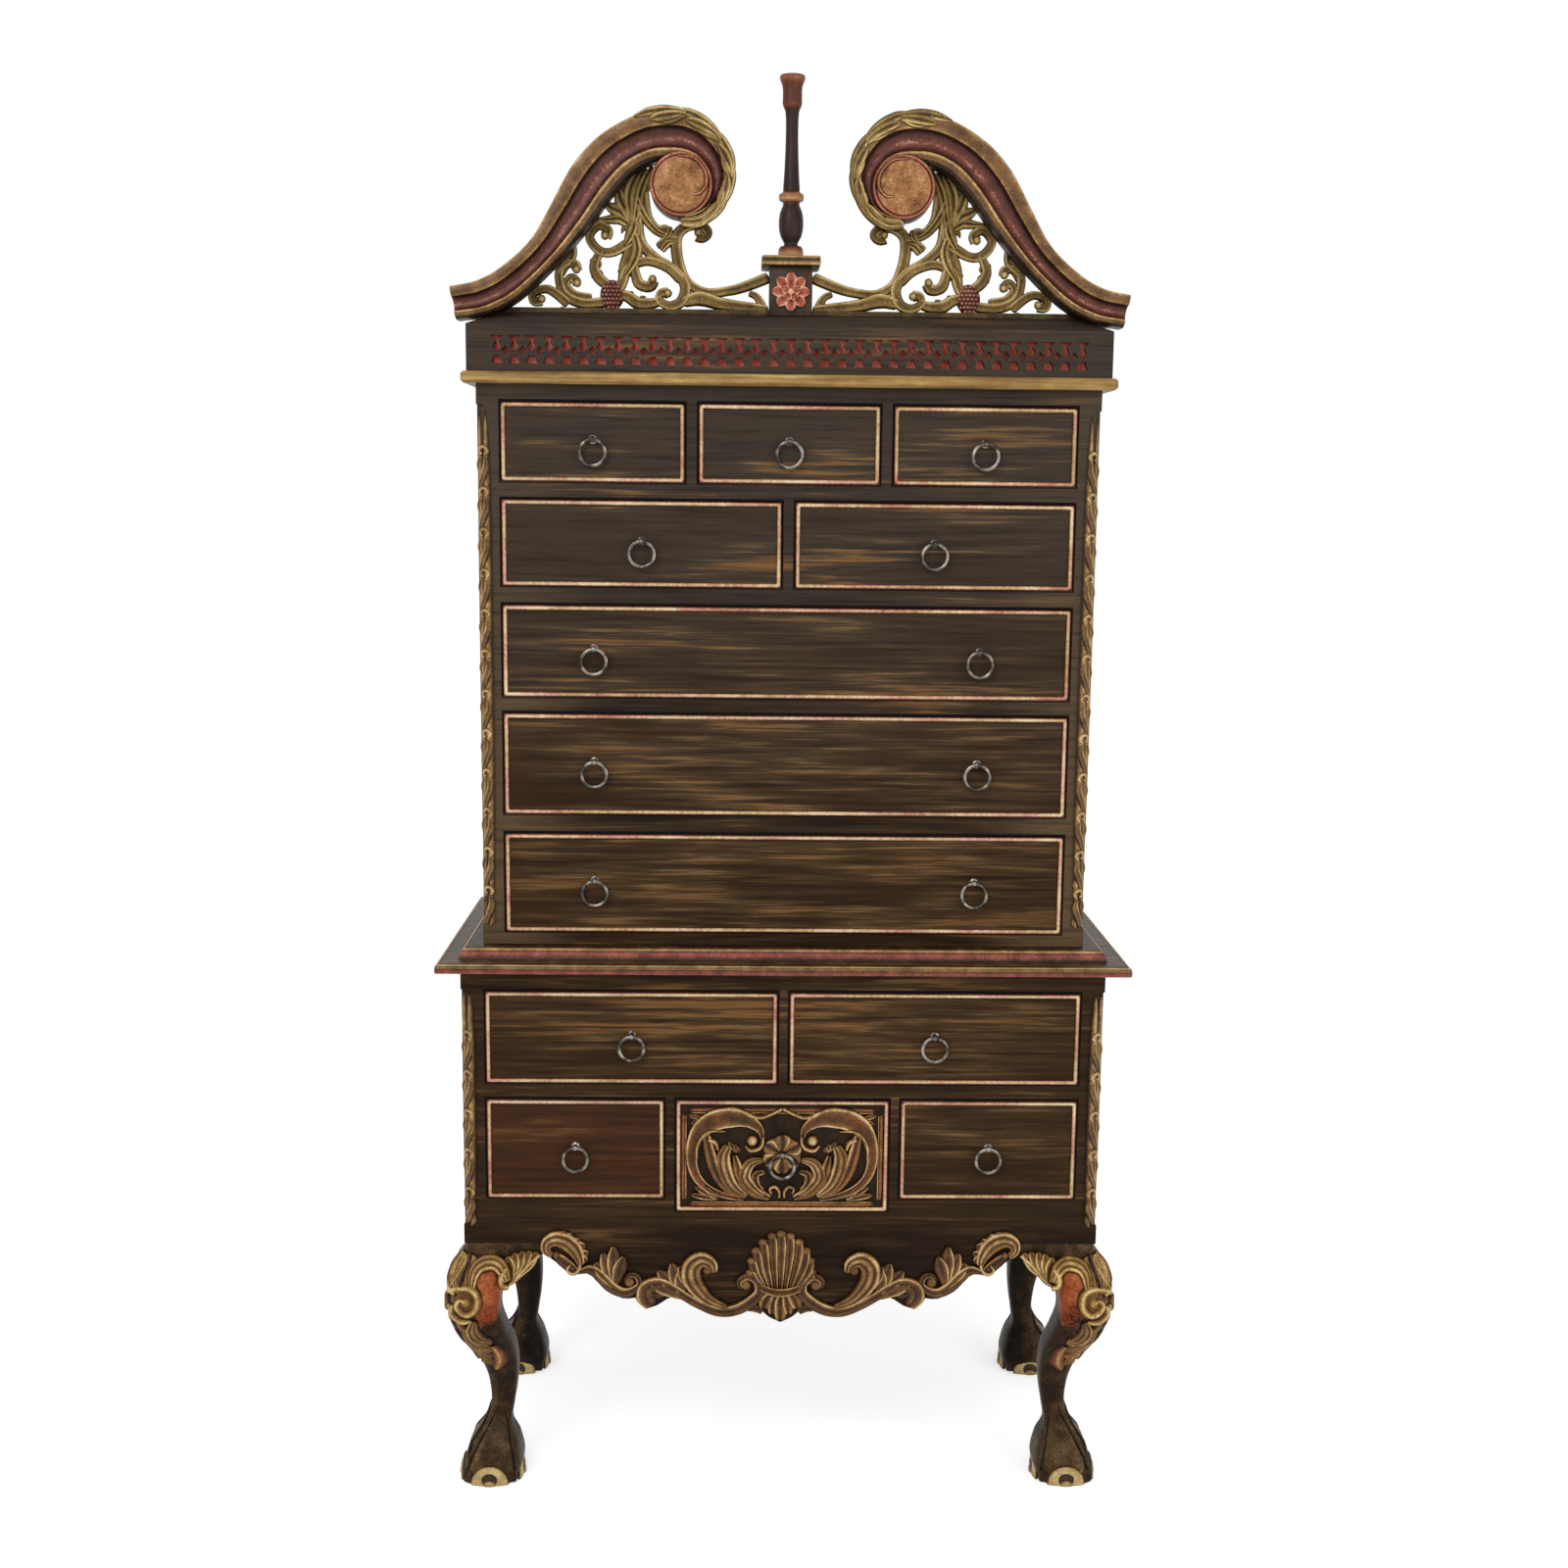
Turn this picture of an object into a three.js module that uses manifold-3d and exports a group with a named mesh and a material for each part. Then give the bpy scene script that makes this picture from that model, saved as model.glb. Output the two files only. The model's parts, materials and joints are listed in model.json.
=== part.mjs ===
// A highboy: a chest of eight drawers on a stand of five drawers and four cabriole legs,
// with a pierced frieze, a scrolled pediment, open scrollwork and a turned finial.
// Millimetres, +Z up, the front faces -Y. The origin is on the floor, below the middle of the whole.

import * as THREE from 'three';
import { mergeVertices } from 'three/addons/utils/BufferGeometryUtils.js';
import Module from 'manifold-3d';

const wasm = await Module();
wasm.setup();

// Joints of the cabinet work
const seatGap = 0.3;
const runnerGap = 0.3;
const drawerGap = 1.2;
const overrun = 6;
const halfShare = 0.5;

// Lower chest
const legHeight = 402;
const lowerStile = 38;
const lowerDepth = 458;
const sideBoard = 20;
const backBoard = 10;
const frameThick = 22;
const dustBoard = 9;
const apronHeight = 75;
const apronDrop = 131;
const cornerChamfer = 12;
const chamferStop = 30;

// Drawer rows of the lower chest, from the bottom up
const lowerRow = 159;
const centreDrop = 21;
const lowerRailMid = 27;
const lowerRowTop = 145;
const lowerRailTop = 33;
const lowerSpan = 918;
const centreDrawerWide = 331;
const lowerDivider = 19;

// Waist moulding
const lipOut = 34;
const lipHigh = 16;
const lipRound = 3;
const coveOut = 8;
const coveHigh = 4;
const waistStrip = 15;

// Upper chest, set back on the lower one
const upperStile = 36;
const upperSetback = 28;
const upperSpan = 858;
const upperDivider = 21;
const topSideWide = 273;
const topBoard = 14;
const upperDrawers = [153, 154, 138, 128, 116];
const upperRails = [20, 31, 26, 29, 27, 26];

// Drawers
const frontThick = 20;
const beadWide = 7;
const beadProud = 3;
const beadRound = 1.2;
const boxWall = 12;
const boxBottom = 6;
const boxSideGap = 1;
const boxTopGap = 12;
const stopGap = 20;

// Ring pulls
const ringRadius = 19;
const ringWire = 2.2;
const ringSteps = 16;
const ringFacets = 5;
const eyeOut = 9.5;
const eyeBall = 5.4;
const eyeHole = 3.3;
const eyePost = 3.2;
const eyeAbove = 4;
const ringReach = 292;

// Cornice and frieze
const corniceOut = 19.5;
const corniceHigh = 17;
const corniceRound = 3.5;
const friezeOut = 12;
const friezeHigh = 63;
const friezeBoard = 12;
const linerThick = 4;
const fretPitch = 25.4;
const fretMargin = 30;

// Pediment
const deckHigh = 24.5;
const deckEdge = 5;
const deckRun = 42;
const neckReach = 500;
const neckRise = 280;
const neckDepth = 47;
const neckSet = 14.5;
const rosetteRadius = 46;
const rosetteProud = 6;
const openworkThick = 16;
const vineWide = 15;
const railHigh = 9;
const plinthSide = 64;
const plinthHigh = 72;
const plinthFront = 56;
const capOut = 12;
const capHigh = 15;
const capRound = 4;
const finialHigh = 262;
const finialRadius = 18.8;

// Legs
const kneeOut = 24;
const kneeWide = 81;
const earSpan = 121;
const earThick = 36;
const earHigh = 72;

// Places that follow from the sizes. Boards glued into one piece run into each other by the lap.
const lowerHalf = lowerSpan / 2 + lowerStile;
const upperHalf = upperSpan / 2 + upperStile;
const apronHalf = lowerHalf - earSpan;
const topCentreWide = upperSpan - 2 * (topSideWide + upperDivider);
const lowerZ = legHeight + seatGap;
const lowerRowZ = lowerZ + apronHeight;
const lowerTopRowZ = lowerRowZ + lowerRow + lowerRailMid;
const lowerTop = lowerTopRowZ + lowerRowTop + lowerRailTop;
const waistZ = lowerTop + seatGap;
const waistTop = waistZ + lipHigh + coveHigh + waistStrip;
const upperZ = waistTop + seatGap;
const total = (list) => list.reduce((sum, size) => sum + size, 0);
const upperTop = upperZ + total(upperDrawers) + total(upperRails);
const corniceZ = upperTop + seatGap;
const friezeZ = corniceZ + corniceHigh;
const deckZ = friezeZ + friezeHigh + seatGap;
const deckTop = deckZ + deckHigh;
const pedimentZ = deckTop + seatGap;
const friezeHalf = upperHalf + friezeOut;
const friezeFront = upperSetback - friezeOut;
const fretCount = Math.floor((2 * (friezeHalf - fretMargin)) / fretPitch);
const openworkFront = neckSet + neckDepth + seatGap;
const lap = dustBoard / 2;
const middleY = (lowerDepth + kneeOut - lipOut) / 2;

const colours = {
  body: 0x2b2017, drawer: 0x30241a, box: 0x8a6a44, gold: 0x9a7a36, red: 0x6e2a20, liner: 0xb03a30,
  vine: 0x80682f, ring: 0x4a4642,
};

// Shape helpers

// A closed solid from a geometry, with its shared corners merged and its empty triangles dropped.
function solidOf(geometry) {
  const plain = geometry.clone();
  plain.deleteAttribute('normal');
  plain.deleteAttribute('uv');
  const merged = mergeVertices(plain);
  const corners = merged.index.array;
  const kept = [];
  for (let i = 0; i < corners.length; i += 3) {
    const [a, b, c] = corners.slice(i, i + 3);
    if (a !== b && b !== c && c !== a) kept.push(a, b, c);
  }
  return new wasm.Manifold(new wasm.Mesh({
    numProp: 3,
    vertProperties: new Float32Array(merged.attributes.position.array),
    triVerts: new Uint32Array(kept),
  }));
}

function geometryOf(solid) {
  const mesh = solid.getMesh();
  const geometry = new THREE.BufferGeometry();
  geometry.setAttribute('position', new THREE.BufferAttribute(mesh.vertProperties, 3));
  geometry.setIndex(new THREE.BufferAttribute(mesh.triVerts, 1));
  geometry.computeVertexNormals();
  return geometry;
}

const join = (...pieces) => geometryOf(pieces.map(solidOf).reduce((sum, piece) => sum.add(piece)));
const cut = (piece, ...cutters) =>
  geometryOf(cutters.map(solidOf).reduce((rest, cutter) => rest.subtract(cutter), solidOf(piece)));

function block(x0, x1, y0, y1, z0, z1) {
  const geometry = new THREE.BoxGeometry(x1 - x0, y1 - y0, z1 - z0);
  return geometry.translate((x0 + x1) / 2, (y0 + y1) / 2, (z0 + z1) / 2);
}

// An outline drawn in x and z, made into a plate that runs from y0 to y1.
function plate(shape, y0, y1, curveSegments) {
  const geometry = new THREE.ExtrudeGeometry(shape, { depth: y1 - y0, bevelEnabled: false, curveSegments });
  return geometry.rotateX(Math.PI / 2).translate(0, y1, 0);
}

// A skin over rings of corners that all run the same way round, closed by a cap at each end.
function loft(rings, capFaces) {
  const count = rings[0].length;
  const faces = capFaces ?? rings[0].slice(2).map((_, i) => [0, i + 1, i + 2]);
  const index = [];
  for (let level = 0; level < rings.length - 1; level += 1) {
    for (let i = 0; i < count; i += 1) {
      const a = level * count + i;
      const b = level * count + ((i + 1) % count);
      index.push(a, b, b + count, a, b + count, a + count);
    }
  }
  const last = (rings.length - 1) * count;
  for (const [a, b, c] of faces) index.push(a, c, b, last + a, last + b, last + c);
  const geometry = new THREE.BufferGeometry();
  geometry.setAttribute('position', new THREE.Float32BufferAttribute(rings.flat(2), 3));
  geometry.setIndex(index);
  return geometry;
}

// A board moulded along its front and both ends. Each level says how far it stands out, and its height.
function mouldedBoard(reach, front, back, levels) {
  return loft(levels.map(([out, z]) => [
    [-reach - out, front - out, z],
    [reach + out, front - out, z],
    [reach + out, back, z],
    [-reach - out, back, z],
  ]));
}

// The same piece seen in a mirror that stands across x or across y.
function mirrored(geometry, axis) {
  const copy = geometryOf(solidOf(geometry));
  copy.scale(axis === 'x' ? -1 : 1, axis === 'y' ? -1 : 1, 1);
  const corners = copy.index.array;
  for (let i = 0; i < corners.length; i += 3) {
    [corners[i], corners[i + 1]] = [corners[i + 1], corners[i]];
  }
  copy.computeVertexNormals();
  return copy;
}

function rectangle(x0, x1, z0, z1) {
  const corners = [[x0, z0], [x1, z0], [x1, z1], [x0, z1]];
  return corners.map(([x, z]) => new THREE.Vector2(x, z));
}

const highboy = new THREE.Group();
highboy.position.y = -middleY;

function place(parent, name, geometry, colour, roughness, metalness) {
  const material = new THREE.MeshStandardMaterial({ color: colour, roughness, metalness });
  const mesh = new THREE.Mesh(geometry, material);
  mesh.name = name;
  parent.add(mesh);
  return mesh;
}

const wooden = (parent, name, geometry, colour) => place(parent, name, geometry, colour, 0.55, 0);

// Drawers: each row of places gives the middle, the width, the foot and the height of a drawer.

const upperPair = (upperSpan - upperDivider) / 2;
const lowerPair = (lowerSpan - lowerDivider) / 2;
const lowerSide = (lowerSpan - centreDrawerWide) / 2 - lowerDivider;

function upperFoot(row) {
  return upperZ + total(upperRails.slice(0, row + 1)) + total(upperDrawers.slice(0, row));
}

const sided = (span, width) => (span - width) / 2;

const drawerPlaces = [
  { name: 'upper_1_left', x: -sided(upperSpan, topSideWide), wide: topSideWide, row: 4, rings: 1 },
  { name: 'upper_1_centre', x: 0, wide: topCentreWide, row: 4, rings: 1 },
  { name: 'upper_1_right', x: sided(upperSpan, topSideWide), wide: topSideWide, row: 4, rings: 1 },
  { name: 'upper_2_left', x: -sided(upperSpan, upperPair), wide: upperPair, row: 3, rings: 1 },
  { name: 'upper_2_right', x: sided(upperSpan, upperPair), wide: upperPair, row: 3, rings: 1 },
  { name: 'upper_3', x: 0, wide: upperSpan, row: 2, rings: 2 },
  { name: 'upper_4', x: 0, wide: upperSpan, row: 1, rings: 2 },
  { name: 'upper_5', x: 0, wide: upperSpan, row: 0, rings: 2 },
].map((drawer) => ({
  ...drawer,
  upper: true,
  front: upperSetback,
  foot: upperFoot(drawer.row),
  high: upperDrawers[drawer.row],
  boxEnd: lowerDepth - backBoard - stopGap,
})).concat([
  { name: 'lower_1_left', x: -sided(lowerSpan, lowerPair), wide: lowerPair, row: 1 },
  { name: 'lower_1_right', x: sided(lowerSpan, lowerPair), wide: lowerPair, row: 1 },
  { name: 'lower_2_left', x: -sided(lowerSpan, lowerSide), wide: lowerSide, row: 0 },
  { name: 'lower_2_centre', x: 0, wide: centreDrawerWide, row: 0, drop: centreDrop },
  { name: 'lower_2_right', x: sided(lowerSpan, lowerSide), wide: lowerSide, row: 0 },
].map((drawer) => ({
  ...drawer,
  upper: false,
  front: 0,
  rings: 1,
  foot: (drawer.row === 1 ? lowerTopRowZ : lowerRowZ) - (drawer.drop ?? 0),
  high: (drawer.row === 1 ? lowerRowTop : lowerRow) + (drawer.drop ?? 0),
  boxEnd: lowerDepth - backBoard - stopGap,
})));

// The hole in the face frame that a drawer slides in.
function openingOf(drawer) {
  const reach = drawer.wide / 2 + drawerGap;
  const back = drawer.front + frameThick + overrun;
  const foot = drawer.foot - runnerGap;
  const head = drawer.foot + drawer.high + drawerGap;
  return block(drawer.x - reach, drawer.x + reach, drawer.front - overrun, back, foot, head);
}

// A ball on a post, with the hole that the ring hangs in. It is drawn about the middle of the ball.
function eyeAt(x, z) {
  const ball = new THREE.SphereGeometry(eyeBall, 8, 4).rotateX(Math.PI / 2);
  const postLength = eyeOut + overrun - eyeBall / 2;
  const post = new THREE.CylinderGeometry(eyePost, eyePost, postLength, 6);
  post.translate(0, eyeBall / 2 + postLength / 2, 0);
  const bore = new THREE.CylinderGeometry(eyeHole, eyeHole, 3 * eyeBall, 6).rotateZ(Math.PI / 2);
  return cut(join(ball, post), bore).translate(x, -eyeOut, z);
}

function ringPlaces(drawer) {
  const z = drawer.high / 2 + eyeAbove;
  return drawer.rings === 1 ? [{ tag: '', x: 0, z }] : [
    { tag: '_left', x: -ringReach, z },
    { tag: '_right', x: ringReach, z },
  ];
}

// A drawer front: a board with a proud bead all round and the eyes of its ring pulls.
function drawerFront(drawer) {
  const reach = drawer.wide / 2;
  const top = drawer.high;
  const board = block(-reach, reach, 0, frontThick, 0, top);
  const edge = reach - beadRound;
  const inner = reach - beadWide + beadRound;
  const outline = new THREE.Shape(rectangle(-edge, edge, beadRound, top - beadRound));
  const rebate = rectangle(-inner, inner, beadWide - beadRound, top - beadWide + beadRound);
  outline.holes.push(new THREE.Path(rebate));
  const bead = new THREE.ExtrudeGeometry(outline, {
    depth: beadProud, bevelThickness: beadRound, bevelSize: beadRound, bevelSegments: 1,
  });
  bead.rotateX(Math.PI / 2).translate(0, beadRound, 0);
  const side = reach + overrun;
  const back = block(-side, side, beadRound / 2, frontThick + overrun, -overrun, top + overrun);
  const eyes = ringPlaces(drawer).map((ring) => eyeAt(ring.x, ring.z));
  return join(board, cut(bead, back), ...eyes);
}

// The box behind the front: two sides, a bottom and a back, with the front closing its open end.
function drawerBox(drawer) {
  const reach = drawer.wide / 2 - boxSideGap;
  const start = frontThick + seatGap;
  const end = drawer.boxEnd - drawer.front;
  const top = drawer.high - boxTopGap;
  const hollow = block(
    -reach + boxWall, reach - boxWall, start - overrun, end - boxWall, boxBottom, top + overrun,
  );
  return cut(block(-reach, reach, start, end, 0, top), hollow);
}

// The ring hangs from the middle of its top stretch, which lies in the eye.
function ringPull() {
  const ring = new THREE.TorusGeometry(ringRadius, ringWire, ringFacets, ringSteps);
  const drop = ringRadius * Math.cos(Math.PI / ringSteps);
  return geometryOf(solidOf(ring.rotateX(Math.PI / 2).translate(0, 0, -drop)));
}

function buildDrawer(drawer) {
  const group = new THREE.Group();
  group.position.set(drawer.x, drawer.front, drawer.foot);
  highboy.add(group);
  wooden(group, `drawer_front_${drawer.name}`, drawerFront(drawer), colours.drawer);
  wooden(group, `drawer_box_${drawer.name}`, drawerBox(drawer), colours.box);
  for (const ring of ringPlaces(drawer)) {
    const mesh = place(group, `ring_pull_${drawer.name}${ring.tag}`, ringPull(), colours.ring, 0.35, 0.9);
    mesh.position.set(ring.x, -eyeOut, ring.z);
  }
}

// Upper chest

// A prism that takes the sharp corner off a face frame between two stops.
function cornerCutter(x, front, z0, z1) {
  const prism = new THREE.BoxGeometry(cornerChamfer * Math.SQRT2, cornerChamfer * Math.SQRT2, z1 - z0);
  return prism.rotateZ(Math.PI / 4).translate(x, front, (z0 + z1) / 2);
}

function chamferedFrame(frame, reach, front, z0, z1) {
  const corner = (x) => cornerCutter(x, front, z0 + chamferStop, z1 - chamferStop);
  const cutters = [-reach, reach].map(corner);
  return cut(frame, ...cutters);
}

// A full-depth shelf that carries a row of drawers behind its rail.
function shelf(reach, front, z) {
  const top = z - runnerGap;
  const back = lowerDepth - backBoard - seatGap;
  return block(-reach, reach, front + frameThick - lap, back, top - dustBoard, top);
}

function guide(x, wide, front, z0, z1) {
  const reach = wide / 2 - drawerGap;
  const back = lowerDepth - backBoard - seatGap;
  return block(x - reach, x + reach, front + frameThick - lap, back, z0 - lap, z1);
}

function upperFrame() {
  const drawers = drawerPlaces.filter((drawer) => drawer.upper);
  const board = block(-upperHalf, upperHalf, upperSetback, upperSetback + frameThick, upperZ, upperTop);
  const face = cut(board, ...drawers.map(openingOf));
  const reach = upperHalf - sideBoard - seatGap;
  const shelves = upperDrawers.map((_, row) => shelf(reach, upperSetback, upperFoot(row)));
  const rowGuide = (x, row) => {
    const foot = upperFoot(row);
    return guide(x, upperDivider, upperSetback, foot, foot + upperDrawers[row] + drawerGap);
  };
  const topRow = upperDrawers.length - 1;
  const topGuide = (topCentreWide + upperDivider) / 2;
  const guides = [-topGuide, topGuide].map((x) => rowGuide(x, topRow));
  const pairGuide = rowGuide(0, topRow - 1);
  const frame = join(face, ...shelves, ...guides, pairGuide);
  return chamferedFrame(frame, upperHalf, upperSetback, upperZ, upperTop);
}

function upperCase() {
  const start = upperSetback + frameThick + seatGap;
  const outer = block(-upperHalf, upperHalf, start, lowerDepth, upperZ, upperTop);
  const reach = upperHalf - sideBoard;
  const inner = block(
    -reach, reach, start - overrun, lowerDepth - backBoard, upperZ - overrun, upperTop - topBoard,
  );
  return cut(outer, inner);
}

// Lower chest

// Half of the scalloped lower edge of the apron, from the leg to the shell, as shares of half its span and of its drop.
const apronShares = [
  [1, 0.13], [0.97, 0.18], [0.935, 0.26], [0.877, 0.4], [0.81, 0.39], [0.73, 0.57], [0.665, 0.7],
  [0.585, 0.7], [0.55, 0.82], [0.44, 0.66], [0.36, 0.7], [0.275, 0.82], [0.19, 0.9], [0.1, 0.82],
  [0.05, 0.93], [0, 1],
];

function apronEdge() {
  const curve = new THREE.CatmullRomCurve3(
    apronShares.map(([x, z]) => new THREE.Vector3(x * apronHalf, 0, lowerZ - z * apronDrop)),
  );
  const right = curve.getPoints(3 * (apronShares.length - 1)).map((p) => new THREE.Vector2(p.x, p.z));
  const left = right.slice(0, -1).reverse().map((p) => new THREE.Vector2(-p.x, p.y));
  return [...right, ...left];
}

function lowerFrame() {
  const drawers = drawerPlaces.filter((drawer) => !drawer.upper);
  const outline = new THREE.Shape([
    new THREE.Vector2(-lowerHalf, lowerTop),
    new THREE.Vector2(-lowerHalf, lowerZ),
    new THREE.Vector2(-apronHalf, lowerZ),
    ...apronEdge().reverse(),
    new THREE.Vector2(apronHalf, lowerZ),
    new THREE.Vector2(lowerHalf, lowerZ),
    new THREE.Vector2(lowerHalf, lowerTop),
  ]);
  const face = cut(plate(outline, 0, frameThick), ...drawers.map(openingOf));
  const reach = lowerHalf - sideBoard - seatGap;
  const back = lowerDepth - backBoard - seatGap;
  const behind = frameThick - lap;
  const centre = centreDrawerWide / 2 + lowerDivider / 2;
  const rowTop = lowerRowZ + lowerRow + drawerGap;
  const sideTop = lowerRowZ - runnerGap;
  const centreTop = sideTop - centreDrop;
  const parts = [
    shelf(reach, 0, lowerTopRowZ),
    block(-reach, -centre, behind, back, sideTop - dustBoard, sideTop),
    block(centre, reach, behind, back, sideTop - dustBoard, sideTop),
    block(-centre, centre, behind, back, centreTop - dustBoard, centreTop),
    guide(-centre, lowerDivider, 0, centreTop, rowTop),
    guide(centre, lowerDivider, 0, centreTop, rowTop),
    guide(0, lowerDivider, 0, lowerTopRowZ, lowerTopRowZ + lowerRowTop + drawerGap),
  ];
  return chamferedFrame(join(face, ...parts), lowerHalf, 0, lowerZ, lowerTop);
}

function lowerCase() {
  const start = frameThick + seatGap;
  const outer = block(-lowerHalf, lowerHalf, start, lowerDepth, lowerZ, lowerTop);
  const reach = lowerHalf - sideBoard;
  const inner = block(
    -reach, reach, start - overrun, lowerDepth - backBoard, lowerZ - overrun, lowerTop + overrun,
  );
  return cut(outer, inner);
}

function waistMoulding() {
  const lipTop = waistZ + lipHigh;
  const setIn = upperHalf - lowerHalf;
  const stripOut = setIn + upperSetback - lipRound;
  return mouldedBoard(lowerHalf, 0, lowerDepth, [
    [coveOut, waistZ],
    [lipOut - lipRound, waistZ + lipRound],
    [lipOut, waistZ + 2 * lipRound],
    [lipOut, lipTop - lipRound],
    [lipOut - lipRound, lipTop],
    [coveOut, lipTop + coveHigh / 2],
    [coveOut - lipRound, lipTop + coveHigh],
    [stripOut, lipTop + coveHigh + lipRound],
    [stripOut, waistTop - lipRound],
    [stripOut - lipRound, waistTop],
  ]);
}

// Legs

// The cabriole curve, from the top down: height, how far the outer edge stands out, and how far in the
// inner edge lies. The heights are shares of the leg's height, the others are shares of the knee's width.
const legShares = [
  [1, 0, 0.72], [0.94, 0.03, 0.73], [0.9, 0.14, 0.74], [0.85, 0.24, 0.73], [0.79, 0.295, 0.7],
  [0.72, 0.28, 0.675], [0.635, 0.14, 0.77], [0.54, -0.11, 0.91], [0.44, -0.31, 0.95], [0.355, -0.395, 0.92],
  [0.275, -0.4, 0.86], [0.215, -0.27, 0.83], [0.15, -0.03, 0.97], [0.06, 0.1, 1.05], [0, 0.11, 0.94],
];
const legSides = 12;
const squarenessShare = 0.5;

// A square with soft corners, from its outer edge to its inner edge, at one height.
function legSection([heightShare, outShare, inShare]) {
  const low = -outShare * kneeWide;
  const high = inShare * kneeWide;
  const reach = (high - low) / 2;
  const centre = (high + low) / 2;
  const soft = (value) => centre + reach * Math.sign(value) * Math.abs(value) ** squarenessShare;
  const corners = [];
  for (let i = 0; i < legSides; i += 1) {
    const angle = (2 * Math.PI * (i + halfShare)) / legSides;
    corners.push([soft(Math.cos(angle)), soft(Math.sin(angle)), heightShare * legHeight]);
  }
  return corners;
}

// The bracket that carries the knee's curve along the underside of the chest.
const earBendShare = 0.85;

function ear() {
  const start = kneeWide / 2;
  const top = legHeight;
  const outline = new THREE.Shape();
  outline.moveTo(start, top);
  outline.lineTo(start, top - earHigh);
  outline.quadraticCurveTo((start + earSpan) / 2, top - earBendShare * earHigh, earSpan, top - earHigh / 4);
  outline.lineTo(earSpan, top);
  return plate(outline, 0, earThick, 5);
}

// A leg for the left front corner, drawn from the corner of the chest: x inwards, y to the rear.
function leg() {
  const rings = [...legShares].reverse().map(legSection);
  const frontEar = ear();
  const sideEar = mirrored(ear().rotateZ(Math.PI / 2), 'x');
  return join(loft(rings), frontEar, sideEar);
}

function buildLegs() {
  const shape = leg();
  const shapes = {
    front_left: shape, front_right: mirrored(shape, 'x'),
    rear_left: mirrored(shape, 'y'), rear_right: mirrored(mirrored(shape, 'x'), 'y'),
  };
  for (const [name, geometry] of Object.entries(shapes)) {
    const mesh = wooden(highboy, `leg_${name}`, geometry, colours.body);
    mesh.position.x = name.endsWith('left') ? -lowerHalf : lowerHalf;
    mesh.position.y = name.startsWith('front') ? 0 : lowerDepth;
  }
}

// Cornice, frieze and deck

function cornice() {
  const top = corniceZ + corniceHigh;
  const board = mouldedBoard(upperHalf, upperSetback, lowerDepth, [
    [corniceOut - corniceRound, corniceZ],
    [corniceOut, corniceZ + corniceRound],
    [corniceOut, top - corniceRound],
    [corniceOut - corniceRound, top],
  ]);
  const start = friezeFront + friezeBoard + seatGap;
  const walls = block(-friezeHalf, friezeHalf, start, lowerDepth, top - lap, top + friezeHigh);
  const reach = friezeHalf - friezeBoard;
  const hollowTop = top + friezeHigh + overrun;
  const hollow = block(-reach, reach, start - overrun, lowerDepth - backBoard, top, hollowTop);
  return join(board, cut(walls, hollow));
}

// One unit of the fret, as shares of its pitch and of the board's height: a keyhole above, a domed arch
// below, and a lozenge between this unit and the next.
const keyholeShares = [
  [-0.36, 0.82], [-0.07, 0.69], [-0.24, 0.57], [0, 0.46], [0.24, 0.57], [0.07, 0.69], [0.36, 0.82],
];
const lozengeShares = [[0.5, 0.37], [0.72, 0.49], [0.5, 0.6], [0.28, 0.49]];
const archShares = [[-0.32, 0.18], [0.32, 0.18], [0.17, 0.37], [-0.17, 0.37]];

function friezeFret() {
  const floor = friezeZ + seatGap;
  const high = friezeHigh - seatGap;
  const back = friezeFront + friezeBoard;
  const board = block(-friezeHalf, friezeHalf, friezeFront, back, floor, floor + high);
  const cutters = [];
  for (let i = 0; i < fretCount; i += 1) {
    const middle = (i - (fretCount - 1) / 2) * fretPitch;
    const last = i === fretCount - 1;
    for (const shares of last ? [keyholeShares, archShares] : [keyholeShares, archShares, lozengeShares]) {
      const points = shares.map(([x, z]) => new THREE.Vector2(middle + x * fretPitch, floor + z * high));
      cutters.push(plate(new THREE.Shape(points), friezeFront - overrun, back + overrun));
    }
  }
  return cut(board, ...cutters);
}

function friezeLiner() {
  const start = friezeFront + friezeBoard + seatGap;
  const reach = friezeHalf - friezeBoard - seatGap;
  const top = friezeZ + friezeHigh - seatGap;
  return block(-reach, reach, start, start + linerThick, friezeZ + seatGap, top);
}

function deckBoard(grow) {
  return mouldedBoard(friezeHalf, friezeFront, lowerDepth, [
    [grow, deckZ - grow],
    [grow, deckZ + deckEdge],
    [grow - deckRun, deckTop + grow],
  ]);
}

// Pediment. Its outlines are shares of the neck's reach from the middle and of its rise above the deck.

const neckOuterShares = [
  [1, 0.12], [0.92, 0.151], [0.845, 0.227], [0.762, 0.363], [0.701, 0.546], [0.644, 0.728], [0.578, 0.862],
  [0.505, 0.951], [0.434, 1.006], [0.364, 1.025], [0.299, 1.01], [0.233, 0.939], [0.188, 0.828],
  [0.173, 0.716], [0.187, 0.603], [0.218, 0.514], [0.266, 0.453], [0.318, 0.447],
];
const neckInnerShares = [
  [0.984, -0.049], [0.895, -0.022], [0.803, 0.059], [0.691, 0.241], [0.599, 0.426], [0.528, 0.594],
  [0.474, 0.699], [0.431, 0.748], [0.395, 0.767], [0.358, 0.77], [0.318, 0.765], [0.287, 0.745],
  [0.264, 0.7], [0.257, 0.645], [0.264, 0.59], [0.287, 0.545], [0.313, 0.53], [0.337, 0.525],
];
const rosetteShare = [0.324, 0.645];

// Across the moulding: the share of its width from the outer edge, and of its depth from the front.
const neckProfileShares = [
  [1, 1], [0, 1], [0, 0.2], [0.06, 0.06], [0.2, 0], [0.36, 0.06], [0.42, 0.17], [0.56, 0.32],
  [0.72, 0.32], [0.81, 0.12], [0.93, 0.1], [1, 0.18],
];
const neckStations = 20;

const pedimentPoint = ([x, z]) => new THREE.Vector3(-x * neckReach, 0, pedimentZ + z * neckRise);

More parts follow.
